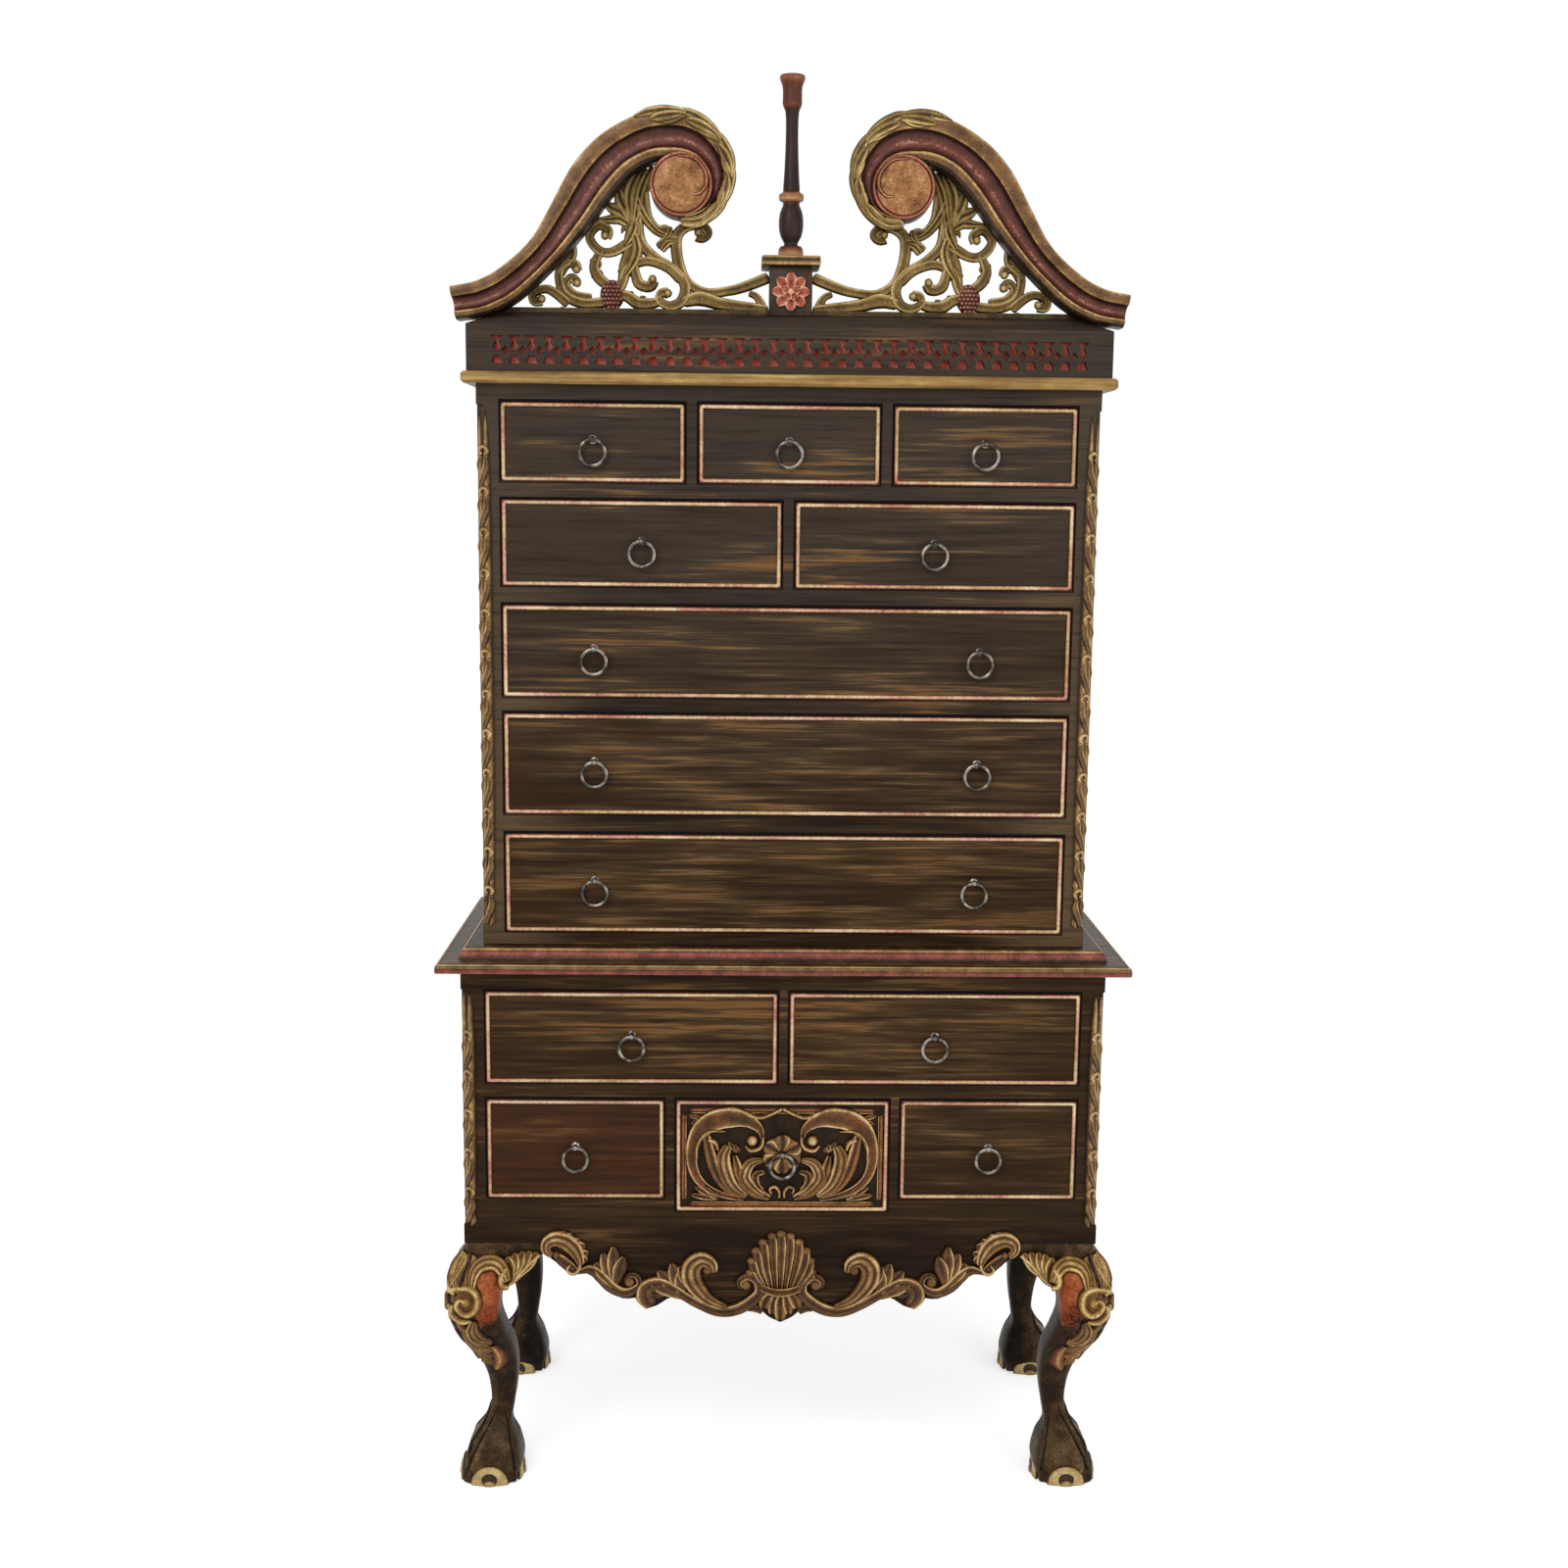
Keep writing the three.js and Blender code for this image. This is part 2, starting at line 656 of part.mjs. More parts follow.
function shareCurve(shares) {
  return new THREE.CatmullRomCurve3(shares.map(pedimentPoint), false, 'catmullrom');
}

// The domed face of the rosette: shares of its radius, and how far each lies behind the middle.
const domeShares = [[0, 0], [0.5, 0.17], [0.9, 0.5], [1, 1]];

function rosette() {
  const middle = pedimentPoint(rosetteShare);
  const deep = neckDepth + rosetteProud / 2;
  const dome = domeShares.map(([r, y]) => new THREE.Vector2(r * rosetteRadius, y * rosetteProud));
  const profile = [...dome, new THREE.Vector2(rosetteRadius, deep), new THREE.Vector2(0, deep)];
  return new THREE.LatheGeometry(profile, 18).translate(middle.x, neckSet - rosetteProud, middle.z);
}

// The left swan neck: its moulding swept up from the tip, over the top and round the rosette.
function swanNeck() {
  const outer = shareCurve(neckOuterShares).getPoints(neckStations);
  const inner = shareCurve(neckInnerShares).getPoints(neckStations);
  const rings = outer.map((edge, i) => neckProfileShares.map(([across, deep]) => {
    const point = edge.clone().lerp(inner[i], across);
    return [point.x, neckSet + deep * neckDepth, point.z];
  }));
  const flat = neckProfileShares.map(([across, deep]) => new THREE.Vector2(deep, 1 - across));
  const faces = THREE.ShapeUtils.triangulateShape(flat, []);
  return cut(join(loft(rings, faces), rosette()), deckBoard(seatGap));
}

// Scrollwork strokes of one side. Each has its course, and its widths as shares of the vine's width.
const strokeShares = [
  { at: [[0.497, 0.69], [0.486, 0.537], [0.478, 0.4]], wide: [1.6, 1.2, 0.7] },
  { at: [[0.434, 0.758], [0.457, 0.588], [0.463, 0.4]], wide: [2.6, 1.8, 1] },
  { at: [[0.463, 0.55], [0.515, 0.53], [0.575, 0.5]], wide: [1.8, 1.5, 0.4] },
  { at: [[0.457, 0.65], [0.503, 0.61], [0.552, 0.57]], wide: [1.6, 1.5, 0.7] },
  {
    at: [[0.445, 0.64], [0.428, 0.508], [0.399, 0.442], [0.373, 0.435], [0.352, 0.4]],
    wide: [1.4, 1, 0.9, 1.3, 0.6],
  },
  {
    at: [
      [0.463, 0.508], [0.447, 0.373], [0.4, 0.293], [0.347, 0.234], [0.314, 0.154], [0.326, 0.073],
      [0.361, 0.049], [0.39, 0.075], [0.387, 0.115], [0.365, 0.115],
    ],
    wide: [1.4, 1.1, 0.9, 1, 1.1, 1.1, 0.9, 0.8, 0.7, 0.6],
  },
  {
    at: [[0.468, 0.43], [0.477, 0.322], [0.492, 0.251], [0.501, 0.17], [0.515, 0.13]],
    wide: [1.3, 1.5, 1.3, 1, 1],
  },
  {
    at: [[0.501, 0.17], [0.48, 0.244], [0.428, 0.28], [0.367, 0.246], [0.325, 0.18]],
    wide: [0.8, 0.9, 0.9, 0.9, 1],
  },
  { at: [[0.468, 0.262], [0.454, 0.166], [0.419, 0.147], [0.408, 0.182]], wide: [0.8, 1.1, 1, 0.8] },
  {
    at: [
      [0.278, 0.415], [0.262, 0.4], [0.247, 0.43], [0.266, 0.462], [0.303, 0.466], [0.335, 0.426],
      [0.342, 0.36], [0.333, 0.26], [0.306, 0.17], [0.253, 0.12], [0.186, 0.13], [0.134, 0.155],
      [0.05, 0.205],
    ],
    wide: [1, 0.8, 0.9, 1, 1, 1.1, 1.1, 1.1, 0.9, 0.9, 0.9, 1, 1.1],
  },
  { at: [[0.4, 0.355], [0.37, 0.38], [0.335, 0.39]], wide: [0.5, 1.2, 0.8] },
  {
    at: [
      [0.47, 0.385], [0.532, 0.323], [0.573, 0.334], [0.599, 0.402], [0.573, 0.46], [0.543, 0.435],
      [0.552, 0.4],
    ],
    wide: [1.1, 0.9, 0.9, 0.9, 0.9, 0.9, 1],
  },
  { at: [[0.565, 0.335], [0.585, 0.254], [0.573, 0.193], [0.545, 0.15]], wide: [0.7, 1, 1.1, 1] },
  {
    at: [
      [0.66, 0.393], [0.651, 0.297], [0.686, 0.239], [0.687, 0.155], [0.667, 0.09], [0.614, 0.055],
      [0.54, 0.067],
    ],
    wide: [1.2, 0.9, 0.9, 0.9, 1, 1, 1],
  },
  { at: [[0.686, 0.2], [0.666, 0.257], [0.64, 0.257], [0.637, 0.225]], wide: [0.7, 0.8, 0.9, 0.8] },
  {
    at: [[0.634, 0.157], [0.652, 0.192], [0.669, 0.151], [0.643, 0.101], [0.591, 0.085]],
    wide: [0.8, 0.8, 0.8, 0.8, 0.8],
  },
  {
    at: [
      [0.739, 0.068], [0.765, 0.062], [0.768, 0.1], [0.738, 0.128], [0.707, 0.115], [0.66, 0.05],
    ],
    wide: [0.8, 0.8, 0.8, 0.8, 0.9, 1],
  },
  {
    at: [[0.525, 0.11], [0.486, 0.094], [0.454, 0.06], [0.408, 0.062], [0.385, 0.085]],
    wide: [0.8, 1.1, 1.2, 1, 0.8],
  },
  { at: [[0.322, 0.068], [0.268, 0.09], [0.201, 0.06], [0.05, 0.035]], wide: [1, 1.5, 1.2, 0.9] },
  { at: [[0.125, 0.122], [0.1, 0.1], [0.084, 0.05]], wide: [0.6, 0.7, 0.9] },
];
const fruitShares = [[0.533, 0.045], [0.572, 0.11], [0.558, 0.19], [0.51, 0.19], [0.496, 0.11]];

const strokeSteps = 1.15;
const railShare = 0.9;

// A flat stroke of changing width along a smooth course.
function stroke({ at, wide }) {
  const course = shareCurve(at);
  const steps = Math.round(strokeSteps * (at.length - 1));
  const outline = [];
  const otherSide = [];
  for (let i = 0; i <= steps; i += 1) {
    const along = i / steps;
    const point = course.getPoint(along);
    const way = course.getTangent(along);
    const spot = along * (wide.length - 1);
    const before = Math.min(Math.floor(spot), wide.length - 2);
    const share = wide[before] + (spot - before) * (wide[before + 1] - wide[before]);
    const reach = (share * vineWide) / 2;
    outline.push(new THREE.Vector2(point.x + way.z * reach, point.z - way.x * reach));
    otherSide.push(new THREE.Vector2(point.x - way.z * reach, point.z + way.x * reach));
  }
  const shape = new THREE.Shape([...outline, ...otherSide.reverse()]);
  return plate(shape, openworkFront, openworkFront + openworkThick);
}

// The rim that runs behind the neck, from its tip to its top, and holds the scrollwork to it.
const rimPlaces = 10;
const rimSteps = 16;

function rim() {
  const outer = shareCurve(neckOuterShares.slice(1, rimPlaces)).getPoints(rimSteps);
  const inner = shareCurve(neckInnerShares.slice(1, rimPlaces)).getPoints(rimSteps);
  const upper = outer.map((edge, i) => edge.clone().lerp(inner[i], halfShare));
  const points = [...upper, ...inner.reverse()].map((p) => new THREE.Vector2(p.x, Math.max(p.z, pedimentZ)));
  return plate(new THREE.Shape(points), openworkFront, openworkFront + openworkThick);
}

function openwork() {
  const back = openworkFront + openworkThick;
  const fruit = new THREE.Shape(fruitShares.map(pedimentPoint).map((p) => new THREE.Vector2(p.x, p.z)));
  const left = join(rim(), plate(fruit, openworkFront, back), ...strokeShares.map(stroke));
  const reach = railShare * neckReach;
  const rail = block(-reach, reach, openworkFront, back, pedimentZ, pedimentZ + railHigh);
  const side = plinthSide / 2 + seatGap;
  const plinthRoom = block(
    -side, side, openworkFront - overrun, back + overrun, pedimentZ + railHigh, pedimentZ + neckRise,
  );
  const below = block(
    -neckReach, neckReach, openworkFront - overrun, back + overrun, pedimentZ - neckRise, pedimentZ,
  );
  return cut(join(left, mirrored(left, 'x'), rail), plinthRoom, below);
}

function plinth() {
  const reach = plinthSide / 2;
  const back = plinthFront + plinthSide;
  const top = pedimentZ + plinthHigh;
  const body = block(-reach, reach, plinthFront, back, pedimentZ, top + lap);
  const capTop = top + capHigh;
  const outs = [[0, top - capRound], [capOut - capRound, top], [capOut, top], [capOut, capTop - capRound],
    [capOut - capRound, capTop]];
  const cap = loft(outs.map(([out, z]) => [
    [-reach - out, plinthFront - out, z],
    [reach + out, plinthFront - out, z],
    [reach + out, back + out, z],
    [-reach - out, back + out, z],
  ]));
  const slot = block(
    -reach - overrun, reach + overrun, openworkFront - seatGap, openworkFront + openworkThick + seatGap,
    pedimentZ - overrun, pedimentZ + railHigh + seatGap,
  );
  return cut(join(body, cap), slot);
}

// The turned profile from the foot up: shares of the largest radius, and shares of the height.
const finialShares = [
  [0, 0], [1, 0], [1, 0.05], [0.9, 0.067], [0.55, 0.07], [0.6, 0.09], [0.86, 0.12], [0.98, 0.18],
  [0.95, 0.235], [0.66, 0.285], [0.66, 0.31], [1, 0.32], [1, 0.352], [0.67, 0.362], [0.5, 0.6],
  [0.49, 0.7], [0.56, 0.81], [0.68, 0.825], [0.77, 0.84], [0.77, 0.94], [1, 0.98], [1, 1], [0.55, 1],
  [0, 0.985],
];

function finial() {
  const profile = finialShares.map(([r, z]) => new THREE.Vector2(r * finialRadius, z * finialHigh));
  const turned = new THREE.LatheGeometry(profile, 12).rotateX(Math.PI / 2);
  return geometryOf(solidOf(turned));
}

drawerPlaces.forEach(buildDrawer);
wooden(highboy, 'upper_frame', upperFrame(), colours.body);
wooden(highboy, 'upper_case', upperCase(), colours.body);
wooden(highboy, 'waist_moulding', waistMoulding(), colours.red);
wooden(highboy, 'lower_frame', lowerFrame(), colours.body);
wooden(highboy, 'lower_case', lowerCase(), colours.body);
buildLegs();
wooden(highboy, 'cornice', cornice(), colours.gold);
wooden(highboy, 'frieze_fret', friezeFret(), colours.body);
wooden(highboy, 'frieze_liner', friezeLiner(), colours.liner);
wooden(highboy, 'pediment_deck', deckBoard(0), colours.body);
wooden(highboy, 'swan_neck_left', swanNeck(), colours.gold);
wooden(highboy, 'swan_neck_right', mirrored(swanNeck(), 'x'), colours.gold);
wooden(highboy, 'pediment_openwork', openwork(), colours.vine);
wooden(highboy, 'plinth', plinth(), colours.body);
const spire = wooden(highboy, 'finial', finial(), colours.box);
spire.position.set(0, plinthFront + plinthSide / 2, pedimentZ + plinthHigh + capHigh + seatGap);

export default highboy;
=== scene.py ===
"""Dresses the highboy: its paint and gilding, its carving, its ring pulls and its turned and swept work.

Lengths are in metres, in the frame of the solids: +Z up, the drawers open towards -Y.
"""

import json
import logging
import math
from dataclasses import dataclass, field, replace
from enum import Enum
from typing import Callable, Iterable, Optional, Protocol, Sequence, Union

import bmesh
import bpy
from bmesh.types import BMEdge, BMVert
from mathutils import Matrix, Vector

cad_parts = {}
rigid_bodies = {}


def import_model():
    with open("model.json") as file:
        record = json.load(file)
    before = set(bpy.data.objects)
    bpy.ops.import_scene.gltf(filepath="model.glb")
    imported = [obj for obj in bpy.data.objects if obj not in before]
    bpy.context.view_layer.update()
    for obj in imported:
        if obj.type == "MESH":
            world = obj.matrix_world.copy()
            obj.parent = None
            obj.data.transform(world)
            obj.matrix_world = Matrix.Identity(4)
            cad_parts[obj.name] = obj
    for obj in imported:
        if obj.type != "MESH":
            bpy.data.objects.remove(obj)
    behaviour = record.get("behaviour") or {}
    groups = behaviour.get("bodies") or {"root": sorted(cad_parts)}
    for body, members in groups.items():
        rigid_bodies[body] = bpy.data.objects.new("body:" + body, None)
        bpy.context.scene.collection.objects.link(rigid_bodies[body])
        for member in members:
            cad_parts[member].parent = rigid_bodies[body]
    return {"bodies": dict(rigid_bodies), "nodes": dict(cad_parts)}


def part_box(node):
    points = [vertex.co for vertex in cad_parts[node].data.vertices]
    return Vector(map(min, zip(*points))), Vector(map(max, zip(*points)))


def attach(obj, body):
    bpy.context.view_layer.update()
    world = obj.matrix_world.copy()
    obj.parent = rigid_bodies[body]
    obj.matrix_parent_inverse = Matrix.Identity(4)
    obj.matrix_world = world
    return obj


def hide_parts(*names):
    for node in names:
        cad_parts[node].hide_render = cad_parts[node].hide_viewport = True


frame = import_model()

log = logging.getLogger("highboy")

MM = 0.001
FRONT = Vector((0, -1, 0))
BACK = Vector((0, 1, 0))
UP = Vector((0, 0, 1))
SHARP_ANGLE = math.radians(38)
SWAP = Matrix(((0, 1, 0, 0), (1, 0, 0, 0), (0, 0, 1, 0), (0, 0, 0, 1)))
SIDES = ((-1, "left"), (1, "right"))

Point = tuple[float, float]
Triple = tuple[float, float, float]
Colour = Triple
Tone = Point
Ramp = tuple[tuple[float, Colour], ...]
Material = bpy.types.Material
Socket = bpy.types.NodeSocket
Value = Union[float, tuple[float, ...], Socket]
Surface = Callable[[float, float], tuple[Vector, Vector]]


class Slot(Enum):
    """Names of the record's material slots, passed with the pieces of this script."""

    CASE = "case_paint"
    DRAWER = "drawer_paint"
    RED = "red_moulding"
    GOLD = "gold_moulding"
    CARVING = "gold_carving"
    LEG = "leg_paint"
    FINIAL = "finial_brown"
    RING = "ring_iron"


# Colours


def paint(code: str) -> Colour:
    """Turns a painter's colour code into the linear red, green and blue that a shader takes.

    Args:
        code: Six hexadecimal digits.

    Returns:
        The linear colour.
    """
    shares = [int(code[i : i + 2], 16) / 255 for i in (0, 2, 4)]
    return tuple(s / 12.92 if s < 0.04045 else ((s + 0.055) / 1.055) ** 2.4 for s in shares)


# A near-black for the dark brush marks of the paint, for the painted shadow round the drawers and for the darkening
# low on the apron.
SOOT_AND_SHADOW = paint("150e0a")
GROUND = paint("352415")
UMBER = paint("4f3a24")
OCHRE = paint("867049")
SLATE = paint("423a33")
HONEY = paint("86592f")
WHITE = (1.0, 1.0, 1.0, 1.0)


def ramp(*codes: str) -> Ramp:
    """Spreads some colour codes evenly from painted shade in the deepest hollow to the most rubbed edge and its
    painted highlight.
    """
    return tuple((i / (len(codes) - 1), paint(code)) for i, code in enumerate(codes))


MOULDING_GOLD = ramp("180f08", "432e17", "72552e", "987642", "cfb17c")
VINE_GOLD = ramp("140d07", "3a2b11", "6e562a", "9b7f47", "d6bc86")
CARVING_GOLD = ramp("110905", "321d0d", "5e3e1e", "8c6636", "dcbc88")
ROSETTE_GOLD = ramp("1f120b", "5a3420", "8a5c34", "a9794a", "d6b07c")
FLOWER_RED = ramp("24100b", "7c3527", "b45d48", "cf8a69", "ecc8a2")
RED_PAINT = ramp("140806", "341811", "4f261a", "6e3526", "ab7058")
WARM_RED = ramp("1a0b06", "47200f", "763c1e", "9a5c33", "cfa272")
KNEE_GOLD = ramp("150b05", "432b12", "745023", "9e793c", "e2c78c")
CORNER_GOLD = ramp("1c1109", "4b3319", "7b5b32", "9d7a46", "d8b987")
NECK_GOLD = ramp("150d08", "412b16", "6d4c29", "94703f", "d3b27c")
NECK_RED = ramp("140806", "331611", "50271c", "6f382a", "c08a72")
ROSETTE_RED = ramp("1d0d08", "54261a", "84452e", "a2624a", "cf9a7c")
LEG_BROWN = ramp("120b07", "2a1c10", "41301c", "5e4830", "8a7252")
LEG_RED = ramp("22100b", "5a2815", "8c4322", "aa5f38", "c58c62")
WAIST_RED = ramp("160a08", "42201a", "7c3c30", "a4604d", "d8a68a")


class Nodes:
    """A material's node tree, with short calls for the nodes that the finishes share."""

    def __init__(self, name: str, roughness: float, metallic: float = 0.0, specular: float = 0.3) -> None:
        """Starts a material.

        Args:
            name: The material's name.
            roughness: How matt it is, all over, unless a finish links it later.
            metallic: 1 for bare metal.
            specular: How much it shines where it is looked at straight.
        """
        self.material = bpy.data.materials.new(name)
        self.material.use_nodes = True
        self.tree = self.material.node_tree
        self.shader = self.tree.nodes["Principled BSDF"]
        self.shader.inputs["Roughness"].default_value = roughness
        self.shader.inputs["Metallic"].default_value = metallic
        self.shader.inputs["Specular IOR Level"].default_value = specular
        self.place = self.tree.nodes.new("ShaderNodeTexCoord").outputs["Object"]

    def add(self, kind: str, inputs: dict[Union[int, str], Value]) -> bpy.types.Node:
        """Adds a node and links or sets its inputs."""
        node = self.tree.nodes.new(f"ShaderNode{kind}")
        for key, value in inputs.items():
            self.put(node.inputs[key], value)
        return node

    def put(self, socket: Socket, value: Value) -> None:
        """Links a socket or sets its value."""
        if isinstance(value, Socket):
            self.tree.links.new(value, socket)
        elif isinstance(value, tuple) and len(value) == 3 and socket.type == "RGBA":
            socket.default_value = (*value, 1.0)
        else:
            socket.default_value = value

    def noise(self, scale: Triple, detail: float = 4.0, rough: float = 0.55, warp: float = 0.0) -> Socket:
        """Gives a cloud pattern.

        Args:
            scale: How many clouds a metre holds along x, y and z.
            detail: How many finer layers it has.
            rough: How strong the finer layers are.
            warp: How far the clouds are bent.

        Returns:
            A value between 0 and 1.
        """
        stretch = self.add("Mapping", {"Vector": self.place, "Scale": scale})
        layers = {"Scale": 1.0, "Detail": detail, "Roughness": rough, "Distortion": warp}
        return self.add("TexNoise", {"Vector": stretch.outputs["Vector"], **layers}).outputs["Fac"]

    def span(self, value: Value, low: float, high: float) -> Socket:
        """Gives a smooth step from 0 at low to 1 at high."""
        node = self.add("MapRange", {"Value": value, "From Min": low, "From Max": high})
        node.interpolation_type = "SMOOTHSTEP"
        return node.outputs["Result"]

    def maths(self, operation: str, first: Value, second: Value) -> Socket:
        """Gives the result of a sum on two values."""
        node = self.add("Math", {0: first, 1: second})
        node.operation = operation
        return node.outputs[0]

    def plus(self, first: Value, second: Value) -> Socket:
        """Adds two values."""
        return self.maths("ADD", first, second)

    def times(self, first: Value, second: Value) -> Socket:
        """Multiplies two values."""
        return self.maths("MULTIPLY", first, second)

    def shifted(self, value: Value, cloud: Value, share: float) -> Socket:
        """Adds a cloud to a value, up or down by at most half the share."""
        return self.plus(value, self.times(self.maths("SUBTRACT", cloud, 0.5), share))

    def mix(self, share: Value, under: Value, over: Value) -> Socket:
        """Lays one colour over another by a share."""
        node = self.tree.nodes.new("ShaderNodeMix")
        node.data_type = "RGBA"
        self.put(node.inputs["Factor"], share)
        self.put(node.inputs[6], under)
        self.put(node.inputs[7], over)
        return node.outputs[2]

    def run(self, value: Value, stops: Ramp) -> Socket:
        """Runs a value through a row of colours."""
        node = self.tree.nodes.new("ShaderNodeValToRGB")
        elements = node.color_ramp.elements
        for i, (share, colour) in enumerate(stops):
            stop = elements[i] if i < 2 else elements.new(share)
            stop.position = share
            stop.color = (*colour, 1.0)
        self.put(node.inputs["Fac"], value)
        return node.outputs["Color"]

    def painted(self) -> tuple[Socket, Socket]:
        """Gives the tone and the share of red that the piece's maker painted on its corners."""
        node = self.tree.nodes.new("ShaderNodeAttribute")
        node.attribute_name = "paint"
        split = self.add("SeparateXYZ", {0: node.outputs["Vector"]})
        return split.outputs["X"], split.outputs["Y"]

    def recess(self, distance: float) -> Socket:
        """Gives 0 in the open and up to 1 deep in the carving."""
        node = self.add("AmbientOcclusion", {"Distance": distance})
        node.samples = 6
        return self.maths("SUBTRACT", 1.0, node.outputs["AO"])

    def coordinate(self, axis: str) -> Socket:
        """Gives the place along one axis, in metres."""
        return self.add("SeparateXYZ", {0: self.place}).outputs[axis]

    def bump(self, value: Value, strength: float, distance: float) -> None:
        """Raises the surface where the value is high."""
        node = self.add("Bump", {"Strength": strength, "Distance": distance, "Height": value})
        self.put(self.shader.inputs["Normal"], node.outputs["Normal"])

    def done(self, colour: Value, roughness: Optional[Value] = None) -> Material:
        """Sets the colour and, where it varies, the roughness, and gives the material."""
        self.put(self.shader.inputs["Base Color"], colour)
        if roughness is not None:
            self.put(self.shader.inputs["Roughness"], roughness)
        return self.material


# How many hairs, brush strokes, patches and specks of paint a metre holds along x, y and z.
HAIRS = (9.0, 9.0, 360.0)
STROKES = (4.6, 4.6, 112.0)
PATCHES = (3.0, 3.0, 20.0)
GRAIN = (260.0, 260.0, 420.0)
# From how far out to how near the middle the boards take more paint, and the heights in metres between which
# their colour fades to slate and the streaks calm down.
INWARDS = (0.47, 0.2)
FADING = (0.95, 1.65)
CALMING = (1.77, 1.82)


@dataclass(frozen=True)
class StreakedPaint:
    """Dark paint over wood, with lighter hairs dragged along the boards by a nearly dry brush."""

    name: str
    ground: Colour = GROUND
    mid: Colour = UMBER
    streak: Colour = OCHRE
    cover: float = 0.5
    dark_below: float = 0.0
    ends: Optional[Colour] = None

    def make(self) -> Material:
        """Builds the material.

        Returns:
            The material, with its hairs along x and y, darker below a given height, and another colour
            towards the ends of the boards.
        """
        nodes = Nodes(self.name, 0.6, specular=0.07)
        hairs = nodes.noise(HAIRS, 5.0, 0.62, 0.3)
        strokes = nodes.noise(STROKES, 4.0, 0.6, 0.3)
        patches = nodes.noise(PATCHES, 3.0, 0.55)
        grain = nodes.noise(GRAIN, 3.0, 0.7)
        height = nodes.coordinate("Z")
        low = 0.66 - 0.3 * self.cover
        where = nodes.span(nodes.shifted(patches, strokes, 0.6), low, low + 0.2)
        inner = nodes.span(nodes.maths("ABSOLUTE", nodes.coordinate("X"), 0.0), *INWARDS)
        where = nodes.times(where, nodes.plus(nodes.times(inner, 0.7), 0.3))
        base = nodes.mix(nodes.span(nodes.shifted(patches, strokes, 0.9), 0.34, 0.68), self.ground, self.mid)
        base = nodes.mix(nodes.times(nodes.span(inner, 0.8, 0.0), 0.5), base, self.ends or self.ground)
        base = nodes.mix(nodes.times(nodes.span(nodes.shifted(height, patches, 0.7), *FADING), 0.75), base, SLATE)
        where = nodes.times(where, nodes.plus(nodes.times(nodes.span(height, *CALMING), -0.7), 1.0))
        base = nodes.mix(nodes.times(nodes.span(hairs, 0.5, 0.32), 0.4), base, SOOT_AND_SHADOW)
        base = nodes.mix(nodes.times(nodes.span(strokes, 0.5, 0.3), 0.45), base, SOOT_AND_SHADOW)
        dabs = nodes.times(nodes.span(nodes.shifted(strokes, hairs, 0.9), 0.5, 0.68), where)
        thin = nodes.times(nodes.span(nodes.shifted(hairs, grain, 0.25), 0.54, 0.7), where)
        warm = nodes.times(nodes.span(nodes.shifted(strokes, patches, 0.9), 0.56, 0.7), where)
        colour = base
        for mask, strength, tint in ((dabs, 0.42, self.streak), (thin, 0.75, self.streak), (warm, 0.5, HONEY)):
            colour = nodes.mix(nodes.times(mask, strength), colour, tint)
        # Darker below a given height, low on the apron where its carving is.
        if self.dark_below:
            cloudy = nodes.shifted(height, nodes.noise((7.0, 7.0, 30.0), 3.0), 0.09)
            under = nodes.span(cloudy, self.dark_below + 0.012, self.dark_below - 0.012)
            colour = nodes.mix(nodes.times(under, 0.62), colour, SOOT_AND_SHADOW)
        nodes.bump(nodes.plus(hairs, strokes), 0.16, 0.0007)
        return nodes.done(colour, nodes.span(hairs, -0.9, 1.3))


@dataclass(frozen=True)
class Gilding:
    """Gold rubbed over red and brown, with painted shade in the hollows that also stands for the dark glaze left
    there.

    The painted tone runs through the row of colours, and the painted share of red turns it to the red row.
    """

    name: str
    tones: Ramp = MOULDING_GOLD
    reds: Ramp = RED_PAINT
    hollow: float = 0.006
    worn: float = 0.5
    gloss: float = 0.2

    def make(self) -> Material:
        """Builds the material.

        Returns:
            The gilding, broken by a coarse and a fine cloud.
        """
        nodes = Nodes(self.name, 0.42, specular=self.gloss)
        tone, red = nodes.painted()
        coarse = nodes.noise((46.0, 46.0, 46.0), 4.0, 0.6)
        fine = nodes.noise((310.0, 310.0, 310.0), 3.0, 0.6)
        value = nodes.shifted(nodes.shifted(tone, coarse, self.worn * 1.3), fine, self.worn)
        # Painted shade: the gilding is darkened where ambient occlusion finds a hollow, which also stands for the
        # glaze there.
        hollow_shade = nodes.times(nodes.span(nodes.recess(self.hollow), 0.25, 0.8), 0.45)
        value = nodes.maths("SUBTRACT", value, hollow_shade)
        share = nodes.span(nodes.shifted(nodes.shifted(red, coarse, 1.2), fine, 0.6), 0.38, 0.62)
        colour = nodes.mix(share, nodes.run(value, self.tones), nodes.run(value, self.reds))
        nodes.bump(nodes.plus(coarse, fine), 0.22, 0.0009)
        return nodes.done(colour, nodes.span(fine, -0.5, 1.7))


